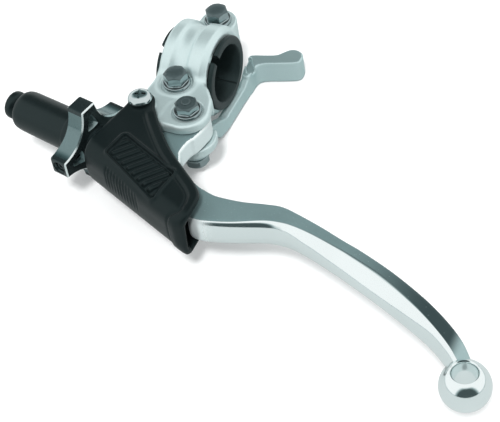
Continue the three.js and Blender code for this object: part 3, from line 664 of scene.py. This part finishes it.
# ---------------------------------------------------------------- fasteners
def hexbolt(name, x, y, seat, end, flange=5.3, hexr=4.62, height=5.2, shank=3.0, turn=0.2, disc=0.0, crown=0.5, shaded_crown_mat=1):
    """Flange bolt head with a chamfered crown, on its shank."""
    seg = 72
    flat = hexr * math.cos(math.pi / 6)
    place = about_z(x, y)

    def hexrad(t):
        u = (t - turn) % (math.pi / 3) - math.pi / 6
        return flat / math.cos(u)

    top = seat + height
    r0 = flat * 0.90
    rings = []                                        # each ring is a function of the angle giving (r, z), with a material
    rings.append((lambda t: (shank - 0.4, end), 0))
    rings.append((lambda t: (shank, end + 0.4), 0))
    rings.append((lambda t: (shank, seat + 0.1), 0))
    rings.append((lambda t: (flange - 0.35, seat), 0))
    rings.append((lambda t: (flange - 0.05, seat + 0.18), 0))
    rings.append((lambda t: (flange, seat + 0.45), 0))
    rings.append((lambda t: (flange - 0.15, seat + 0.75), 0))
    rings.append((lambda t: (flange - 0.5, seat + 0.92), 0))
    # painted shade: the flange top under the hexagon takes the near-black zinc
    rings.append((lambda t: (hexr + 0.25, seat + 1.25), 2))
    rings.append((lambda t: (min(hexr + 0.1, hexrad(t) + 0.25), seat + 1.42), 2))
    rings.append((lambda t: (hexrad(t), seat + 1.7), 0))
    rings.append((lambda t: (hexrad(t), top - (hexrad(t) - r0) * 0.62 - 0.22), 0))
    # painted shade: from the top edge of the hexagon up, the crown takes the darker zinc
    rings.append((lambda t: (hexrad(t) - 0.14, top - (hexrad(t) - r0) * 0.62 - 0.02), shaded_crown_mat))
    rings.append((lambda t: (r0, top), shaded_crown_mat))
    if disc:
        rings.append((lambda t: (disc + 0.35, top + crown * 0.35), shaded_crown_mat))
        rings.append((lambda t: (disc + 0.1, top + crown * 0.4), shaded_crown_mat))
        rings.append((lambda t: (disc, top + crown * 0.4 + 0.45), shaded_crown_mat))
        rings.append((lambda t: (disc - 0.25, top + crown * 0.4 + 0.6), shaded_crown_mat))
        rings.append((lambda t: (disc * 0.45, top + crown * 0.4 + 0.62), shaded_crown_mat))
        zc = top + crown * 0.4 + 0.55
    else:
        for f in (0.82, 0.62, 0.42, 0.2):
            rings.append((lambda t, f=f: (r0 * f, top + crown * (1 - f * f)), shaded_crown_mat))
        zc = top + crown
    verts, faces, index = [], [], []
    for fn, _ in rings:
        for k in range(seg):
            t = 2 * math.pi * k / seg + turn
            r, z = fn(t)
            verts.append(Vector(place(r, t, z)) * MM)
    for i in range(len(rings) - 1):
        for k in range(seg):
            l = (k + 1) % seg
            faces.append((i * seg + k, i * seg + l, (i + 1) * seg + l, (i + 1) * seg + k))
            index.append(rings[i + 1][1])
    a = len(verts)
    verts.append(Vector((x, y, end)) * MM)
    verts.append(Vector((x, y, zc)) * MM)
    last = (len(rings) - 1) * seg
    for k in range(seg):
        l = (k + 1) % seg
        faces.append((a, l, k))
        index.append(0)
        faces.append((last + k, last + l, a + 1))
        index.append(shaded_crown_mat)
    ob = make(name, verts, faces, [M["zinc"], M["zinc_top"], M["groove"]], index, 28)
    recalc(ob, 28)
    return ob


piece(hexbolt("clamp_flange_bolt_front", 0, -BOLT_Y, TOP_Z + 0.3, LOW_Z - 0.6, turn=0.35, height=5.4, crown=0.55), "perch", "zinc_steel", "clamp_bolt_front")
piece(hexbolt("clamp_flange_bolt_rear", 0, BOLT_Y, TOP_Z + 0.3, LOW_Z - 0.6, turn=0.1, height=5.4, crown=0.55), "perch", "zinc_steel", "clamp_bolt_rear")
piece(hexbolt("pivot_flange_bolt", *PIVOT, TOP_Z - 0.1, -16.8, height=4.3, turn=0.15, disc=1.7, crown=0.2), "perch", "zinc_steel", "pivot_bolt")

nut = rounded([(3.3, -13.0), (5.1, -13.0, 0.2), (5.3, -13.4, 0.3), (5.2, -14.0, 0.3), (4.9, -14.4, 0.3), (4.9, -16.6, 0.8), (4.2, -17.7, 0.8),
               (2.4, -18.2, 0.8), (0, -18.3), (0, -17.2), (3.3, -17.2, 0.1)], 0.3)


def hexish(r, t, h):
    """A cap nut: hexagonal between its flange and its dome."""
    if -17.4 < h < -14.2 and r > 4.0:
        u = (t - 0.2) % (math.pi / 3) - math.pi / 6
        r = min(r + 0.12, 4.28 / math.cos(u))
    return (PIVOT[0] + r * math.cos(t), PIVOT[1] + r * math.sin(t), h)


piece(lathe("pivot_cap_nut", nut, 96, hexish, [M["zinc"]], closed=True, smooth=28), "perch", "zinc_steel", "pivot_nut")
hw = rounded([(3.35, -9.2), (6.9, -9.2, 0.15), (6.9, -8.7, 0.15), (3.35, -8.7)], 0.1)
piece(lathe("thumb_pivot_washer", hw, 64, about_z(*PIVOT), [M["steel"]], closed=True), "perch", "zinc_steel", "hot_start_washer")


def wave(r, t, h):
    z = h + (0.05 * math.sin(3 * t) if r > 3.2 else 0)
    return (PIVOT[0] + r * math.cos(t), PIVOT[1] + r * math.sin(t), z)


ww = [(3.4, -12.74), (4.9, -12.74), (4.9, -12.60), (3.4, -12.60)]
piece(lathe("wave_spring_washer", ww, 72, wave, [M["steel"]], closed=True), "perch", "zinc_steel", "wave_washer")


def cover_screw():
    t = COVER_TOP
    prof = rounded([(0, -1.5), (1.4, -1.5, 0.2), (1.9, -0.9, 0.2), (1.9, t + 0.4, 0.1), (4.3, t + 0.3, 0.25), (4.6, t + 0.75, 0.4), (4.4, t + 1.7, 0.7),
                    (3.5, t + 2.6, 0.9), (1.9, t + 3.15, 0.9), (0, t + 3.3)], 0.2, 5)
    ob = lathe("cover_pan_head_screw", prof, 80, about_z(*COVER_SCREW), [M["chrome"]], smooth=50)
    for turn in (0.35, 0.35 + math.pi / 2):
        v = []
        c, s = math.cos(turn), math.sin(turn)
        for z, L_, W_ in ((t + 1.2, 1.0, 0.34), (t + 5.0, 4.2, 0.50)):
            for a, b in ((-L_, -W_), (L_, -W_), (L_, W_), (-L_, W_)):
                v.append(Vector((COVER_SCREW[0] + a * c - b * s, COVER_SCREW[1] + a * s + b * c, z)) * MM)
        f = [(0, 3, 2, 1), (4, 5, 6, 7), (0, 1, 5, 4), (1, 2, 6, 5), (2, 3, 7, 6), (3, 0, 4, 7)]
        boolean(ob, make("x", v, f, [M["chrome"]]), "DIFFERENCE", 35)
    return ob


piece(cover_screw(), "perch", "chromed_steel", "cover_screw")


# ---------------------------------------------------------------- lever
STATIONS = np.array([
    [19.5, -55.5, 20.5, -62.5, 0.8, 4.2], [25.5, -59.8, 26.5, -67.5, 0.8, 5.0], [28.5, -61.7, 29.8, -72.4, 0.9, 5.25],
    [30.2, -62.4, 30.7, -75.4, 1.0, 5.3], [31.6, -62.9, 31.9, -76.6, 1.3, 5.35], [33.6, -63.6, 34.2, -77.0, 1.5, 5.4],
    [37.4, -64.3, 38.2, -76.7, 1.7, 5.4],
    [46.5, -64.1, 46.9, -74.6, 1.9, 5.5], [54.8, -63.0, 57.3, -71.0, 2.3, 5.8], [61.1, -62.6, 63.3, -70.2, 2.6, 6.0],
    [68.2, -64.3, 68.6, -70.4, 3.3, 6.0], [77.9, -67.4, 75.9, -71.8, 4.1, 6.0], [88.0, -71.2, 86.4, -74.8, 5.1, 6.0],
    [94.6, -73.5, 93.2, -77.1, 5.6, 6.0], [107.5, -79.0, 105.9, -82.3, 6.0, 6.0], [120.5, -85.8, 118.0, -89.6, 4.6, 6.0],
    [130.6, -92.5, 127.5, -96.4, 3.0, 5.8], [137.7, -98.6, 134.4, -102.1, 2.6, 5.6], [142.5, -104.6, 139.3, -107.2, 2.4, 5.4],
])


def lever():
    st = spline(STATIONS, 168)
    verts, faces, index = [], [], []
    NT, NN, NR = 6, 26, 5
    for row in st:
        R, T = Vector((row[0], row[1], 0)), Vector((row[2], row[3], 0))
        W = (T - R).length
        d = (T - R) / W
        nose, H = row[4], row[5]
        rr = min(1.3, W * 0.3)
        sec = []
        for k in range(NR + 1):                        # rear upper edge
            a = math.pi - math.pi / 2 * k / NR
            sec.append((rr + rr * math.cos(a), H - rr + rr * math.sin(a)))
        for k in range(1, NT):
            sec.append((rr + (W - rr) * k / NT, H))
        am = math.radians(72)
        for k in range(NN + 1):                        # rounded front, meeting the flat top in a soft arris
            a = am - 2 * am * k / NN
            sec.append((W + nose * (math.cos(a) - math.cos(am)) / (1 - math.cos(am)), H * math.sin(a) / math.sin(am)))
        for k in range(1, NT):
            sec.append((W - (W - rr) * k / NT, -H))
        for k in range(NR + 1):
            a = -math.pi / 2 - math.pi / 2 * k / NR
            sec.append((rr + rr * math.cos(a), -H + rr + rr * math.sin(a)))
        for q, z in sec:
            p = R + d * q
            verts.append((p.x * MM, p.y * MM, z * MM))
    n = len(sec)
    top_end = NR + NT
    for i in range(len(st) - 1):
        for k in range(n):
            l = (k + 1) % n
            faces.append((i * n + k, (i + 1) * n + k, (i + 1) * n + l, i * n + l))
            polished = top_end <= k < top_end + NN
            index.append(1 if polished else 0)
    faces.append(tuple(range(n)))
    faces.append(tuple(reversed(range((len(st) - 1) * n, len(st) * n))))
    index += [0, 1]
    mats = [M["matte"], M["polish"], M["root"]]
    ob = make("lever_blade_forging", verts, faces, mats, index, 50)
    recalc(ob, 50)
    # root around the pivot and the cable nipple
    outline = [*arc(PIVOT[0], PIVOT[1], 7.9, -8, 180, 22), (1.6, -40.0), (-2.2, -50.0), *arc(*NIPPLE, 7.4, 170, 232, 8),
               (6.0, -63.4), (13.0, -67.4), (19.5, -71.2), (22.4, -64.0), (20.6, -56.4), (16.6, -52.2), (14.4, -47.4), (14.9, -43.0), (15.5, -41.2), (16.3, -40.2), (17.3, -36.8)]
    G = Grid((-5, -74, -5.2), (25, -22.5, 5.2), 0.4)
    D = blur(poly(outline, G.X, G.Y)[:, :, 0], 0.8)[:, :, None]
    F = extrude(D, slab(G.Z, -4.2, 4.2), 1.2)
    root = nets("root", G, F, mats, tag=lambda c, n: np.where(np.abs(n[:, 2]) > 0.93, 0, np.where(np.abs(n[:, 2]) > 0.25, 1, 2)))
    boolean(ob, root, "UNION", 50)
    # ball end
    a0 = math.asin(4.4 / BALL_R)
    prof = [(0, -BALL_R)] + [(BALL_R * math.sin(math.pi - t), BALL_R * math.cos(math.pi - t)) for t in np.linspace(0.06, math.pi - 0.06, 56)] + [(0, BALL_R)]
    ball = lathe("ball", prof, 96, about_z(*BALL), mats, matf=lambda i: 1, closed=False)
    boolean(ob, ball, "UNION", 50)
    zr = BALL_R * math.cos(a0)
    hole = [(0, -12), (7.5, -12), (7.5, -zr - 2.2), (4.75, -zr + 0.05), (4.45, -zr + 0.35), (4.2, -zr + 0.7), (4.08, -zr + 1.2), (4.05, 0)]
    hole = hole + [(r, -h) for r, h in reversed(hole[:-1])]
    ht = lathe("hole", hole, 80, about_z(*BALL), mats, matf=lambda i: 1, closed=False)
    boolean(ob, ht, "DIFFERENCE", 50)
    boolean(ob, lathe("pb", [(0, -6), (4.8, -6), (4.8, 6), (0, 6)], 64, about_z(*PIVOT), mats, closed=False), "DIFFERENCE", 50)
    boolean(ob, lathe("nb", [(0, -6), (4.1, -6), (4.1, 6), (0, 6)], 64, about_z(*NIPPLE), mats, closed=False), "DIFFERENCE", 50)
    v = []
    for s in (-20, 0):
        for b, z in ((-1.3, -1.6), (1.3, -1.6), (1.3, 12), (-1.3, 12)):
            p = np.array(NIPPLE) + ADJ_A * s + ADJ_B * b
            v.append((p[0] * MM, p[1] * MM, z * MM))
    slot = make("s", v, [(0, 1, 2, 3), (4, 7, 6, 5), (0, 4, 5, 1), (1, 5, 6, 2), (2, 6, 7, 3), (3, 7, 4, 0)], mats)
    recalc(slot)
    boolean(ob, slot, "DIFFERENCE", 50)
    return ob


piece(lever(), "lever", "lever_aluminium", "clutch_lever")


# ---------------------------------------------------------------- quick adjuster
def wheel():
    R, w, c = 17.4, 3.6, 0.5
    out = []
    for i in range(4):
        t = i * math.pi / 2
        ct, st_ = math.cos(t), math.sin(t)
        pts = [(R - 0.9, -w), (R - 0.26, -w + 0.1), (R, -w + 0.8), (R + 0.0, 0.0), (R, w - 0.8), (R - 0.26, w - 0.1), (R - 0.9, w)]
        P0, P2, P1 = np.array((R - 0.9, w)), np.array((w, R - 0.9)), np.array((5.0, 5.0))
        for k in range(1, 26):
            u = k / 26
            pts.append(tuple((1 - u) ** 2 * P0 + 2 * u * (1 - u) * P1 + u * u * P2))
        out += [(x * ct - y * st_, x * st_ + y * ct) for x, y in pts]
    out = np.array(out)
    e = np.roll(out, -1, 0) - np.roll(out, 1, 0)
    nrm = np.stack([e[:, 1], -e[:, 0]], 1)
    nrm /= np.linalg.norm(nrm, axis=1)[:, None]
    inn = out - nrm * c
    rings = [(inn, 28.5), (out, 28.5 + c), (out, 36.0 - c), (inn, 36.0)]
    verts, faces, index = [], [], []
    n = len(out)
    for P, s in rings:
        for b, z in P:
            p = adj(s, b)
            verts.append((p[0] * MM, p[1] * MM, z * MM))
    for i in range(3):
        for k in range(n):
            l = (k + 1) % n
            faces.append((i * n + k, i * n + l, (i + 1) * n + l, (i + 1) * n + k))
            index.append((3 if 6 < k % 32 < 31 else 0) if i == 1 else 1)
    faces.append(tuple(reversed(range(n))))
    faces.append(tuple(range(3 * n, 4 * n)))
    index += [0, 0]
    mats = [M["anod"], M["edge"], M["pocket"], M["flank"]]
    ob = make("adjuster_star_wheel", verts, faces, mats, index, 30)
    recalc(ob, 30)
    hub = lathe("hub", rounded([(0, 35.0), (6.5, 35.0), (6.5, 39.9, 0.6), (0, 39.9)], 0.4), 72, about_adj, mats, closed=False)
    boolean(ob, hub, "UNION", 30)
    for i in range(4):
        t = i * math.pi / 2
        ct, st_ = math.cos(t), math.sin(t)
        tri = np.array([(8.0, -2.9), (13.5, -0.9), (13.9, 0.0), (13.5, 0.9), (8.0, 2.9), (7.6, 2.2), (7.4, 0.0), (7.6, -2.2)])
        for s0, s1 in ((34.5, 37.5), (27.0, 30.0)):
            v, ff, ix = [], [], []
            cen = tri.mean(0)
            for s in (s0, s1):
                k_ = 0.72 if ((s == 34.5) or (s == 30.0)) else 1.22
                for x, y in (tri - cen) * k_ + cen:
                    p = adj(s, x * ct - y * st_)
                    v.append((p[0] * MM, p[1] * MM, (x * st_ + y * ct) * MM))
            m_ = len(tri)
            for k in range(m_):
                l = (k + 1) % m_
                ff.append((k, l, m_ + l, m_ + k))
                ix.append(2)
            ff += [tuple(reversed(range(m_))), tuple(range(m_, 2 * m_))]
            ix += [2, 2]
            cut = make("pk", v, ff, mats, ix)
            recalc(cut)
            boolean(ob, cut, "DIFFERENCE", 30)
    bore = lathe("bore", [(0, 20), (5.3, 20), (5.3, 45), (0, 45)], 64, about_adj, mats, closed=False)
    boolean(ob, bore, "DIFFERENCE", 30)
    mid = 32.25

    def radial(r, t, h):
        p = adj(mid + r * math.cos(t), -h)
        return (p[0], p[1], r * math.sin(t))

    boolean(ob, lathe("sc", [(0, 4), (2.3, 4), (2.3, 16.4), (2.7, 17.0), (2.7, 20), (0, 20)], 48, radial, mats, closed=False), "DIFFERENCE", 30)
    # grub screw with its hexagon socket
    prof = rounded([(0, 11.2), (2.1, 11.2, 0.2), (2.1, 16.0, 0.45), (1.5, 16.3, 0.1), (1.15, 16.2, 0.1)], 0.2)
    seg, verts, faces = 48, [], []
    rings = [(lambda t, p=p: p) for p in prof[1:]]

    def sock(t):
        u = t % (math.pi / 3) - math.pi / 6
        return 0.98 / math.cos(u)

    rings = [(lambda t, p=p: p) for p in prof[1:]] + [lambda t: (sock(t), 16.05), lambda t: (sock(t), 14.0)]
    for fn in rings:
        for k in range(seg):
            t = 2 * math.pi * k / seg
            r, h = fn(t)
            verts.append(Vector(radial(r, t, h)) * MM)
    for i in range(len(rings) - 1):
        for k in range(seg):
            l = (k + 1) % seg
            faces.append((i * seg + k, i * seg + l, (i + 1) * seg + l, (i + 1) * seg + k))
    faces.append(tuple(reversed(range(seg))))
    faces.append(tuple(range((len(rings) - 1) * seg, len(rings) * seg)))
    grub = make("detent_grub_screw", verts, faces, [M["anod"]], None, 30)
    recalc(grub, 30)
    return ob, grub


wh, grub = wheel()
piece(wh, "wheel", "black_anodised", "star_wheel")
piece(grub, "wheel", "black_anodised", "detent_screw")

boot_prof = rounded([(2.8, -6.8, 0.0), (4.7, -6.8, 0.5), (5.4, -6.2, 0.7), (5.5, -5.0, 0.9), (5.3, -3.9, 0.7), (4.6, -3.2, 0.5), (4.15, -2.7, 0.6),
                     (4.3, -2.0, 0.5), (5.4, -1.6, 0.5), (6.9, -0.9, 0.8), (7.6, 0.4, 1.0), (7.8, 2.5, 1.0), (7.95, 16, 1.0), (8.0, 24.5, 0.5),
                     (8.15, 25.2, 0.3), (8.15, 27.6, 0.4), (7.8, 28.2, 0.2), (5.3, 28.2, 0.1), (5.3, 8.9, 0.1), (7.0, 8.9, 0.1), (7.0, 1.7, 0.1), (2.8, 1.7, 0.1)], 0.4, 4)
piece(lathe("adjuster_rubber_boot", boot_prof, 96, about_adj, [M["boot"]], closed=True, smooth=60), "barrel", "black_rubber", "adjuster_boot")


# ---------------------------------------------------------------- dust cover
def cover():
    rear = spline([(-2.4, -31.4), (0.2, -37.0), (5.7, -44.3), (14.1, -53.6), (23.5, -61.5), (30.0, -66.8), (33.6, -71.0), (34.8, -75.5)], 44)
    L1, L2 = adj(41.3, 13.6), adj(41.3, -13.0)
    outline = [tuple(L1), tuple(L2), (29.2, -84.0), (32.6, -83.4), (34.7, -80.5), *[tuple(p) for p in rear[::-1]],
               *arc(*COVER_SCREW, 5.4, 25, 190, 16)]
    G = Grid((-19.5, -87, -12.8), (37, -26.5, 12.8), 0.33)
    X, Y, Z = G.X, G.Y, G.Z
    D = blur(poly(outline, X, Y)[:, :, 0], 1.5)[:, :, None]
    nd = np.array((46.8, -21.7))
    nd /= np.linalg.norm(nd)
    ns = np.array((-nd[1], nd[0]))
    V = (X - L2[0]) * ns[0] + (Y - L2[1]) * ns[1]

    def section(off):
        h, hl = COVER_TOP - off, COVER_TOP - 0.2 - off
        rt, rb, zt, zb = 7.0 - off * 0.4, 10.0 - off * 0.5, 4.0, 1.0
        P = [(80, h), (off + rt, h)]
        for i in range(1, 14):
            t = math.pi / 2 * i / 14
            P.append((off + rt - rt * math.sin(t), zt + (h - zt) * math.cos(t)))
        P += [(off, zt), (off, zb)]
        for i in range(13, 0, -1):
            t = math.pi / 2 * i / 14
            P.append((off + rb - rb * math.sin(t), zb - (hl + zb) * math.cos(t)))
        P += [(off + rb, -hl), (80, -hl)]
        return P

    T, (u, w) = table2(section(0), (-8, -18), (70, 18), 0.2, 0.3, None, None)
    So = sample(T, u, w, V, Z)
    T2, (u2, w2) = table2(section(COVER_WALL), (-8, -18), (70, 18), 0.2, 0, None, None)
    Si = sample(T2, u2, w2, V, Z)
    # raised lip along the rear edge and round the mouth
    edge = [tuple(p) for p in rear] + [(34.7, -80.5), (32.6, -83.4), (29.2, -84.6)]
    e = poly(edge, X, Y, closed=False)
    mouth = (35.4 - 0.10 * (12 - Z)) - X + 0 * Y                # distance behind the slanted mouth plane
    e2 = np.where(V < 12.0, np.minimum(e, np.maximum(mouth, 0) + 0 * e), e)
    lip = 0.55 * (1 - sstep(2.6, 3.7, e2)) - 0.35 * np.exp(-((e2 - 4.1) / 0.5) ** 2)
    lip = lip * sstep(0.5, 5.0, np.sqrt((X - COVER_SCREW[0]) ** 2 + (Y - COVER_SCREW[1]) ** 2) - 4.6)
    # framed recess with plain grip bars
    quad = np.array([(-5.5, -51.5), (-7.7, -60.7), (19.8, -76.8), (21.8, -64.9)])
    small = quad.mean(0) + (quad - quad.mean(0)) * np.array((0.865, 0.865))
    q2 = poly(small, X, Y) - 1.75
    c0 = quad.mean(0)
    ax = (quad[2] + quad[3] - quad[0] - quad[1])
    ax /= np.linalg.norm(ax)
    ay = np.array((-ax[1], ax[0]))
    P = (X - c0[0]) * ax[0] + (Y - c0[1]) * ax[1]
    Q = (X - c0[0]) * ay[0] + (Y - c0[1]) * ay[1]
    wave_ = np.cos((P - 0.28 * Q) * 2 * math.pi / 3.4)
    bars = sstep(-0.55, 0.05, wave_) * sstep(0.0, -0.6, q2 + 1.35)
    up = sstep(4.0, 7.0, Z)
    relief = up * (0.60 * np.exp(-(q2 / 0.55) ** 2) + sstep(-0.35, -0.85, q2) * (-0.85) + 0.95 * bars)
    # second plain row of short bars on the front shoulder
    Q2 = Q + 10.6
    row = sstep(0.0, -0.5, np.abs(Q2) - 2.6) * sstep(0.0, -0.8, np.abs(P + 0.6) - 9.6)
    wave2 = np.cos((P - 0.28 * Q) * 2 * math.pi / 3.5)
    relief = relief - sstep(-2.0, 3.0, Z) * 0.42 * row * sstep(0.55, 0.9, np.abs(wave2))
    Fo = smax(So, D, 1.6) - lip - relief
    inner = [(-30, -20), (-30, -64.2), (L2[0], L2[1] + 0.6), (29.4, -82.4), (60, -82.4), (60, -20)]
    Di = poly(inner, X, Y)
    low = -12.0 + 3.5 * sstep(13.0, 0.5, mouth)                 # the floor of the cover rises toward the mouth
    hollow = np.maximum(np.maximum(Si, Di), low + 2.4 - Z)
    F = smax(Fo, -hollow, 1.0)
    trim = extrude(poly([(-16, -24), (-16, -44), (2.5, -40.6), (22, -40.6), (22, -20)], X, Y), slab(Z, -20, -2))
    F = smax(F, -trim, 0.6)
    F = smax(F, -mouth * 0.99, 1.8)
    F = smax(F, low - Z, 2.0)
    S = (X - ADJ_O[0]) * ADJ_A[0] + (Y - ADJ_O[1]) * ADJ_A[1]
    F = smax(F, 41.3 - S, 0.6)
    F = smax(F, -cyl(X, Y, Z, *COVER_SCREW, 2.3, 0, 14), 0.3)
    return nets("soft_dust_cover", G, F, [M["rubber"]])


piece(cover(), "perch", "black_rubber", "dust_cover")


# ---------------------------------------------------------------- hot-start lever
def hot():
    G = Grid((2.5, -38, -23), (30.5, 33.5, -8.6), 0.36)
    X, Y, Z = G.X, G.Y, G.Z
    F = cyl(X, Y, Z, *PIVOT, 6.0, -12.0, -9.5, 0.4)
    arm = poly([(PIVOT[0] - 5.2, -31), (9.0, -19.0), (13.0, -19.0), (PIVOT[0] + 5.9, -30)], X, Y)
    F = smin(F, extrude(arm, slab(Z, -12.0, -9.6), 0.5), 1.0)
    ribp = [(-33, -9.6), (-19.0, -9.6), (-13.6, -12.2), (-9.0, -15.0), (8.5, -15.0), (13.0, -13.2), (17.0, -12.2), (22, -12.2),
            (22, -22.0), (14.0, -22.0), (6.0, -21.2), (-9.0, -21.0), (-15.6, -19.6), (-21.0, -13.4), (-24.2, -12.0), (-33, -12.0)]
    T, (u, w) = table2(ribp, (-42, -26), (38, -6), 0.2, 0.5, None, None)
    rib = extrude(sample(T, u, w, Y, Z), slab(X, 9.9, 13.0), 0.4)
    F = smin(F, rib, 0.8)
    kp = [(-20, -12.4), (-15.0, -18.4), (12, -18.4), (16, -18.4), (16, -21.6), (-9.0, -21.0), (-15.6, -19.6), (-21, -13.2)]
    F = smin(F, extrude(poly(kp, Y, Z), slab(X, 7.4, 10.5), 0.3), 0.8)
    pad = spline([(10.2, 12.6), (8.8, 18.0), (8.2, 23.6), (10.0, 25.2), (14.5, 26.4), (18.4, 27.7), (20.4, 29.8), (22.4, 31.9), (25.2, 32.6),
                  (28.2, 31.2), (29.2, 28.2), (28.2, 25.2), (22.0, 22.9), (15.4, 20.7), (13.2, 17.6), (12.9, 12.6)], 80, True)
    D = poly([tuple(p) for p in pad], X, Y)
    F = smin(F, extrude(D, slab(Z, -22.0, -12.2), 0.8), 0.7)
    notch = poly([(7.2, 21.6), (9.3, 23.2), (14.0, 16.6), (11.6, 14.2)], X, Y)
    F = smax(F, -extrude(notch, slab(Z, -14.0, -8)), 0.35)
    F = smax(F, -cyl(X, Y, Z, *PIVOT, 4.3, -20, -5), 0.4)
    F = smax(F, -22.0 - Z, 0.4)
    # painted shade: up-facing faces of the paddle (y over 11 mm) take the darker copy of the satin
    return nets("thumb_lever_forging", G, F, [M["thumb"], M["thumb_top"]], tag=lambda c, n: np.where((n[:, 2] > 0.93) & (c[:, 1] > 11.0), 1, 0))


piece(hot(), "thumb_lever", "thumb_lever_aluminium", "hot_start_lever")

# ---------------------------------------------------------------- carried-over pieces
for node, mat in (("thrust_washer", "steel"), ("barrel_key_pin", "steel"), ("pivot_sleeve", "bronze"), ("detent_spring", "steel"), ("detent_ball", "chrome"),
                  ("adjuster_barrel", "anod"), ("housing_ferrule", "steel"), ("hot_start_bushing", "bronze")):
    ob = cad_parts[node]
    ob.data.materials.clear()
    ob.data.materials.append(M[mat])

# ---------------------------------------------------------------- floor, world and lights
FLOOR_Z = CAD_LO.z - 0.0002
bm = bmesh.new()
bmesh.ops.create_circle(bm, cap_ends=True, segments=96, radius=4.0)
me = bpy.data.meshes.new("floor")
bm.to_mesh(me)
bm.free()
floor = bpy.data.objects.new("floor", me)
floor.location = (0.05, -0.05, FLOOR_Z)
sc.collection.objects.link(floor)
fm = bpy.data.materials.new("floor_paper")
fm.use_nodes = True
fp = next(n for n in fm.node_tree.nodes if n.type == "BSDF_PRINCIPLED")
fp.inputs["Base Color"].default_value = (0.90, 0.905, 0.905, 1)
fp.inputs["Roughness"].default_value = 0.9
fp.inputs["Specular IOR Level"].default_value = 0.1
fp.inputs["Emission Color"].default_value = (1, 1, 1, 1)
fp.inputs["Emission Strength"].default_value = 0.10
fn, fl = fm.node_tree.nodes, fm.node_tree.links
dim = fn.new("ShaderNodeBsdfDiffuse")
dim.inputs["Color"].default_value = (0.52, 0.545, 0.545, 1)
flp = fn.new("ShaderNodeLightPath")
fmx = fn.new("ShaderNodeMixShader")
fl.new(flp.outputs["Is Camera Ray"], fmx.inputs["Fac"])
fl.new(dim.outputs[0], fmx.inputs[1])
fl.new(fp.outputs[0], fmx.inputs[2])
fl.new(fmx.outputs[0], next(n for n in fn if n.type == "OUTPUT_MATERIAL").inputs["Surface"])
me.materials.append(fm)

world = bpy.data.worlds.new("studio")
sc.world = world
world.use_nodes = True
wn, wl = world.node_tree.nodes, world.node_tree.links
wn.clear()
out = wn.new("ShaderNodeOutputWorld")
tc = wn.new("ShaderNodeTexCoord")
sep = wn.new("ShaderNodeSeparateXYZ")
wl.new(tc.outputs["Generated"], sep.inputs[0])


def wmap(src, a, b, lo=0.0, hi=1.0):
    n = wn.new("ShaderNodeMapRange")
    n.interpolation_type = "SMOOTHSTEP"
    n.inputs["From Min"].default_value, n.inputs["From Max"].default_value = a, b
    n.inputs["To Min"].default_value, n.inputs["To Max"].default_value = lo, hi
    wl.new(src, n.inputs["Value"])
    return n.outputs["Result"]


def wdot(v):
    n = wn.new("ShaderNodeVectorMath")
    n.operation = "DOT_PRODUCT"
    n.inputs[1].default_value = v
    wl.new(tc.outputs["Generated"], n.inputs[0])
    return n.outputs["Value"]


def wmath(op, a, b):
    n = wn.new("ShaderNodeMath")
    n.operation = op
    for i, s in enumerate((a, b)):
        if isinstance(s, (int, float)):
            n.inputs[i].default_value = s
        else:
            wl.new(s, n.inputs[i])
    return n.outputs[0]


z = sep.outputs["Z"]
# dark wall on the camera's side, between the floor and the overhead softbox
wall = wmath("MULTIPLY", wmap(wdot((0.45, -0.893, 0.0)), 0.60, 0.80), wmath("MULTIPLY", wmap(z, 0.0, 0.04), wmap(z, 0.74, 0.60)))
rear = wmap(wdot((-0.36, 0.60, 0.72)), 0.84, 0.955)
line = wmath("MULTIPLY", wmap(z, -0.02, 0.01), wmap(z, 0.055, 0.02))
level = wmath("SUBTRACT", 1.0, wmath("MULTIPLY", wall, 0.93))
level = wmath("SUBTRACT", level, wmath("MULTIPLY", rear, 0.86))
level = wmath("SUBTRACT", level, wmath("MULTIPLY", line, 0.55))
level = wmath("MAXIMUM", level, 0.02)
ramp = wn.new("ShaderNodeValToRGB")
ramp.color_ramp.elements[0].color = (0.012, 0.022, 0.024, 1)
ramp.color_ramp.elements[1].color = (1.0, 1.0, 1.0, 1)
mid = ramp.color_ramp.elements.new(0.5)
mid.color = (0.37, 0.47, 0.475, 1)
wl.new(level, ramp.inputs["Fac"])
studio = wn.new("ShaderNodeBackground")
studio.inputs["Strength"].default_value = 1.0
wl.new(ramp.outputs["Color"], studio.inputs["Color"])
white = wn.new("ShaderNodeBackground")
white.inputs["Color"].default_value = (1, 1, 1, 1)
white.inputs["Strength"].default_value = 1.0
lp = wn.new("ShaderNodeLightPath")
mix = wn.new("ShaderNodeMixShader")
wl.new(lp.outputs["Is Camera Ray"], mix.inputs["Fac"])
wl.new(studio.outputs[0], mix.inputs[1])
wl.new(white.outputs[0], mix.inputs[2])
wl.new(mix.outputs[0], out.inputs["Surface"])

key_dir = (BACK + 0.20 * UP - 0.15 * RIGHT).normalized()
sun = bpy.data.lights.new("key", "SUN")
sun.energy = 2.2
sun.angle = math.radians(10)
so = bpy.data.objects.new("key", sun)
so.rotation_mode = "QUATERNION"
so.rotation_quaternion = key_dir.to_track_quat("Z", "Y")
sc.collection.objects.link(so)
so.visible_glossy = False
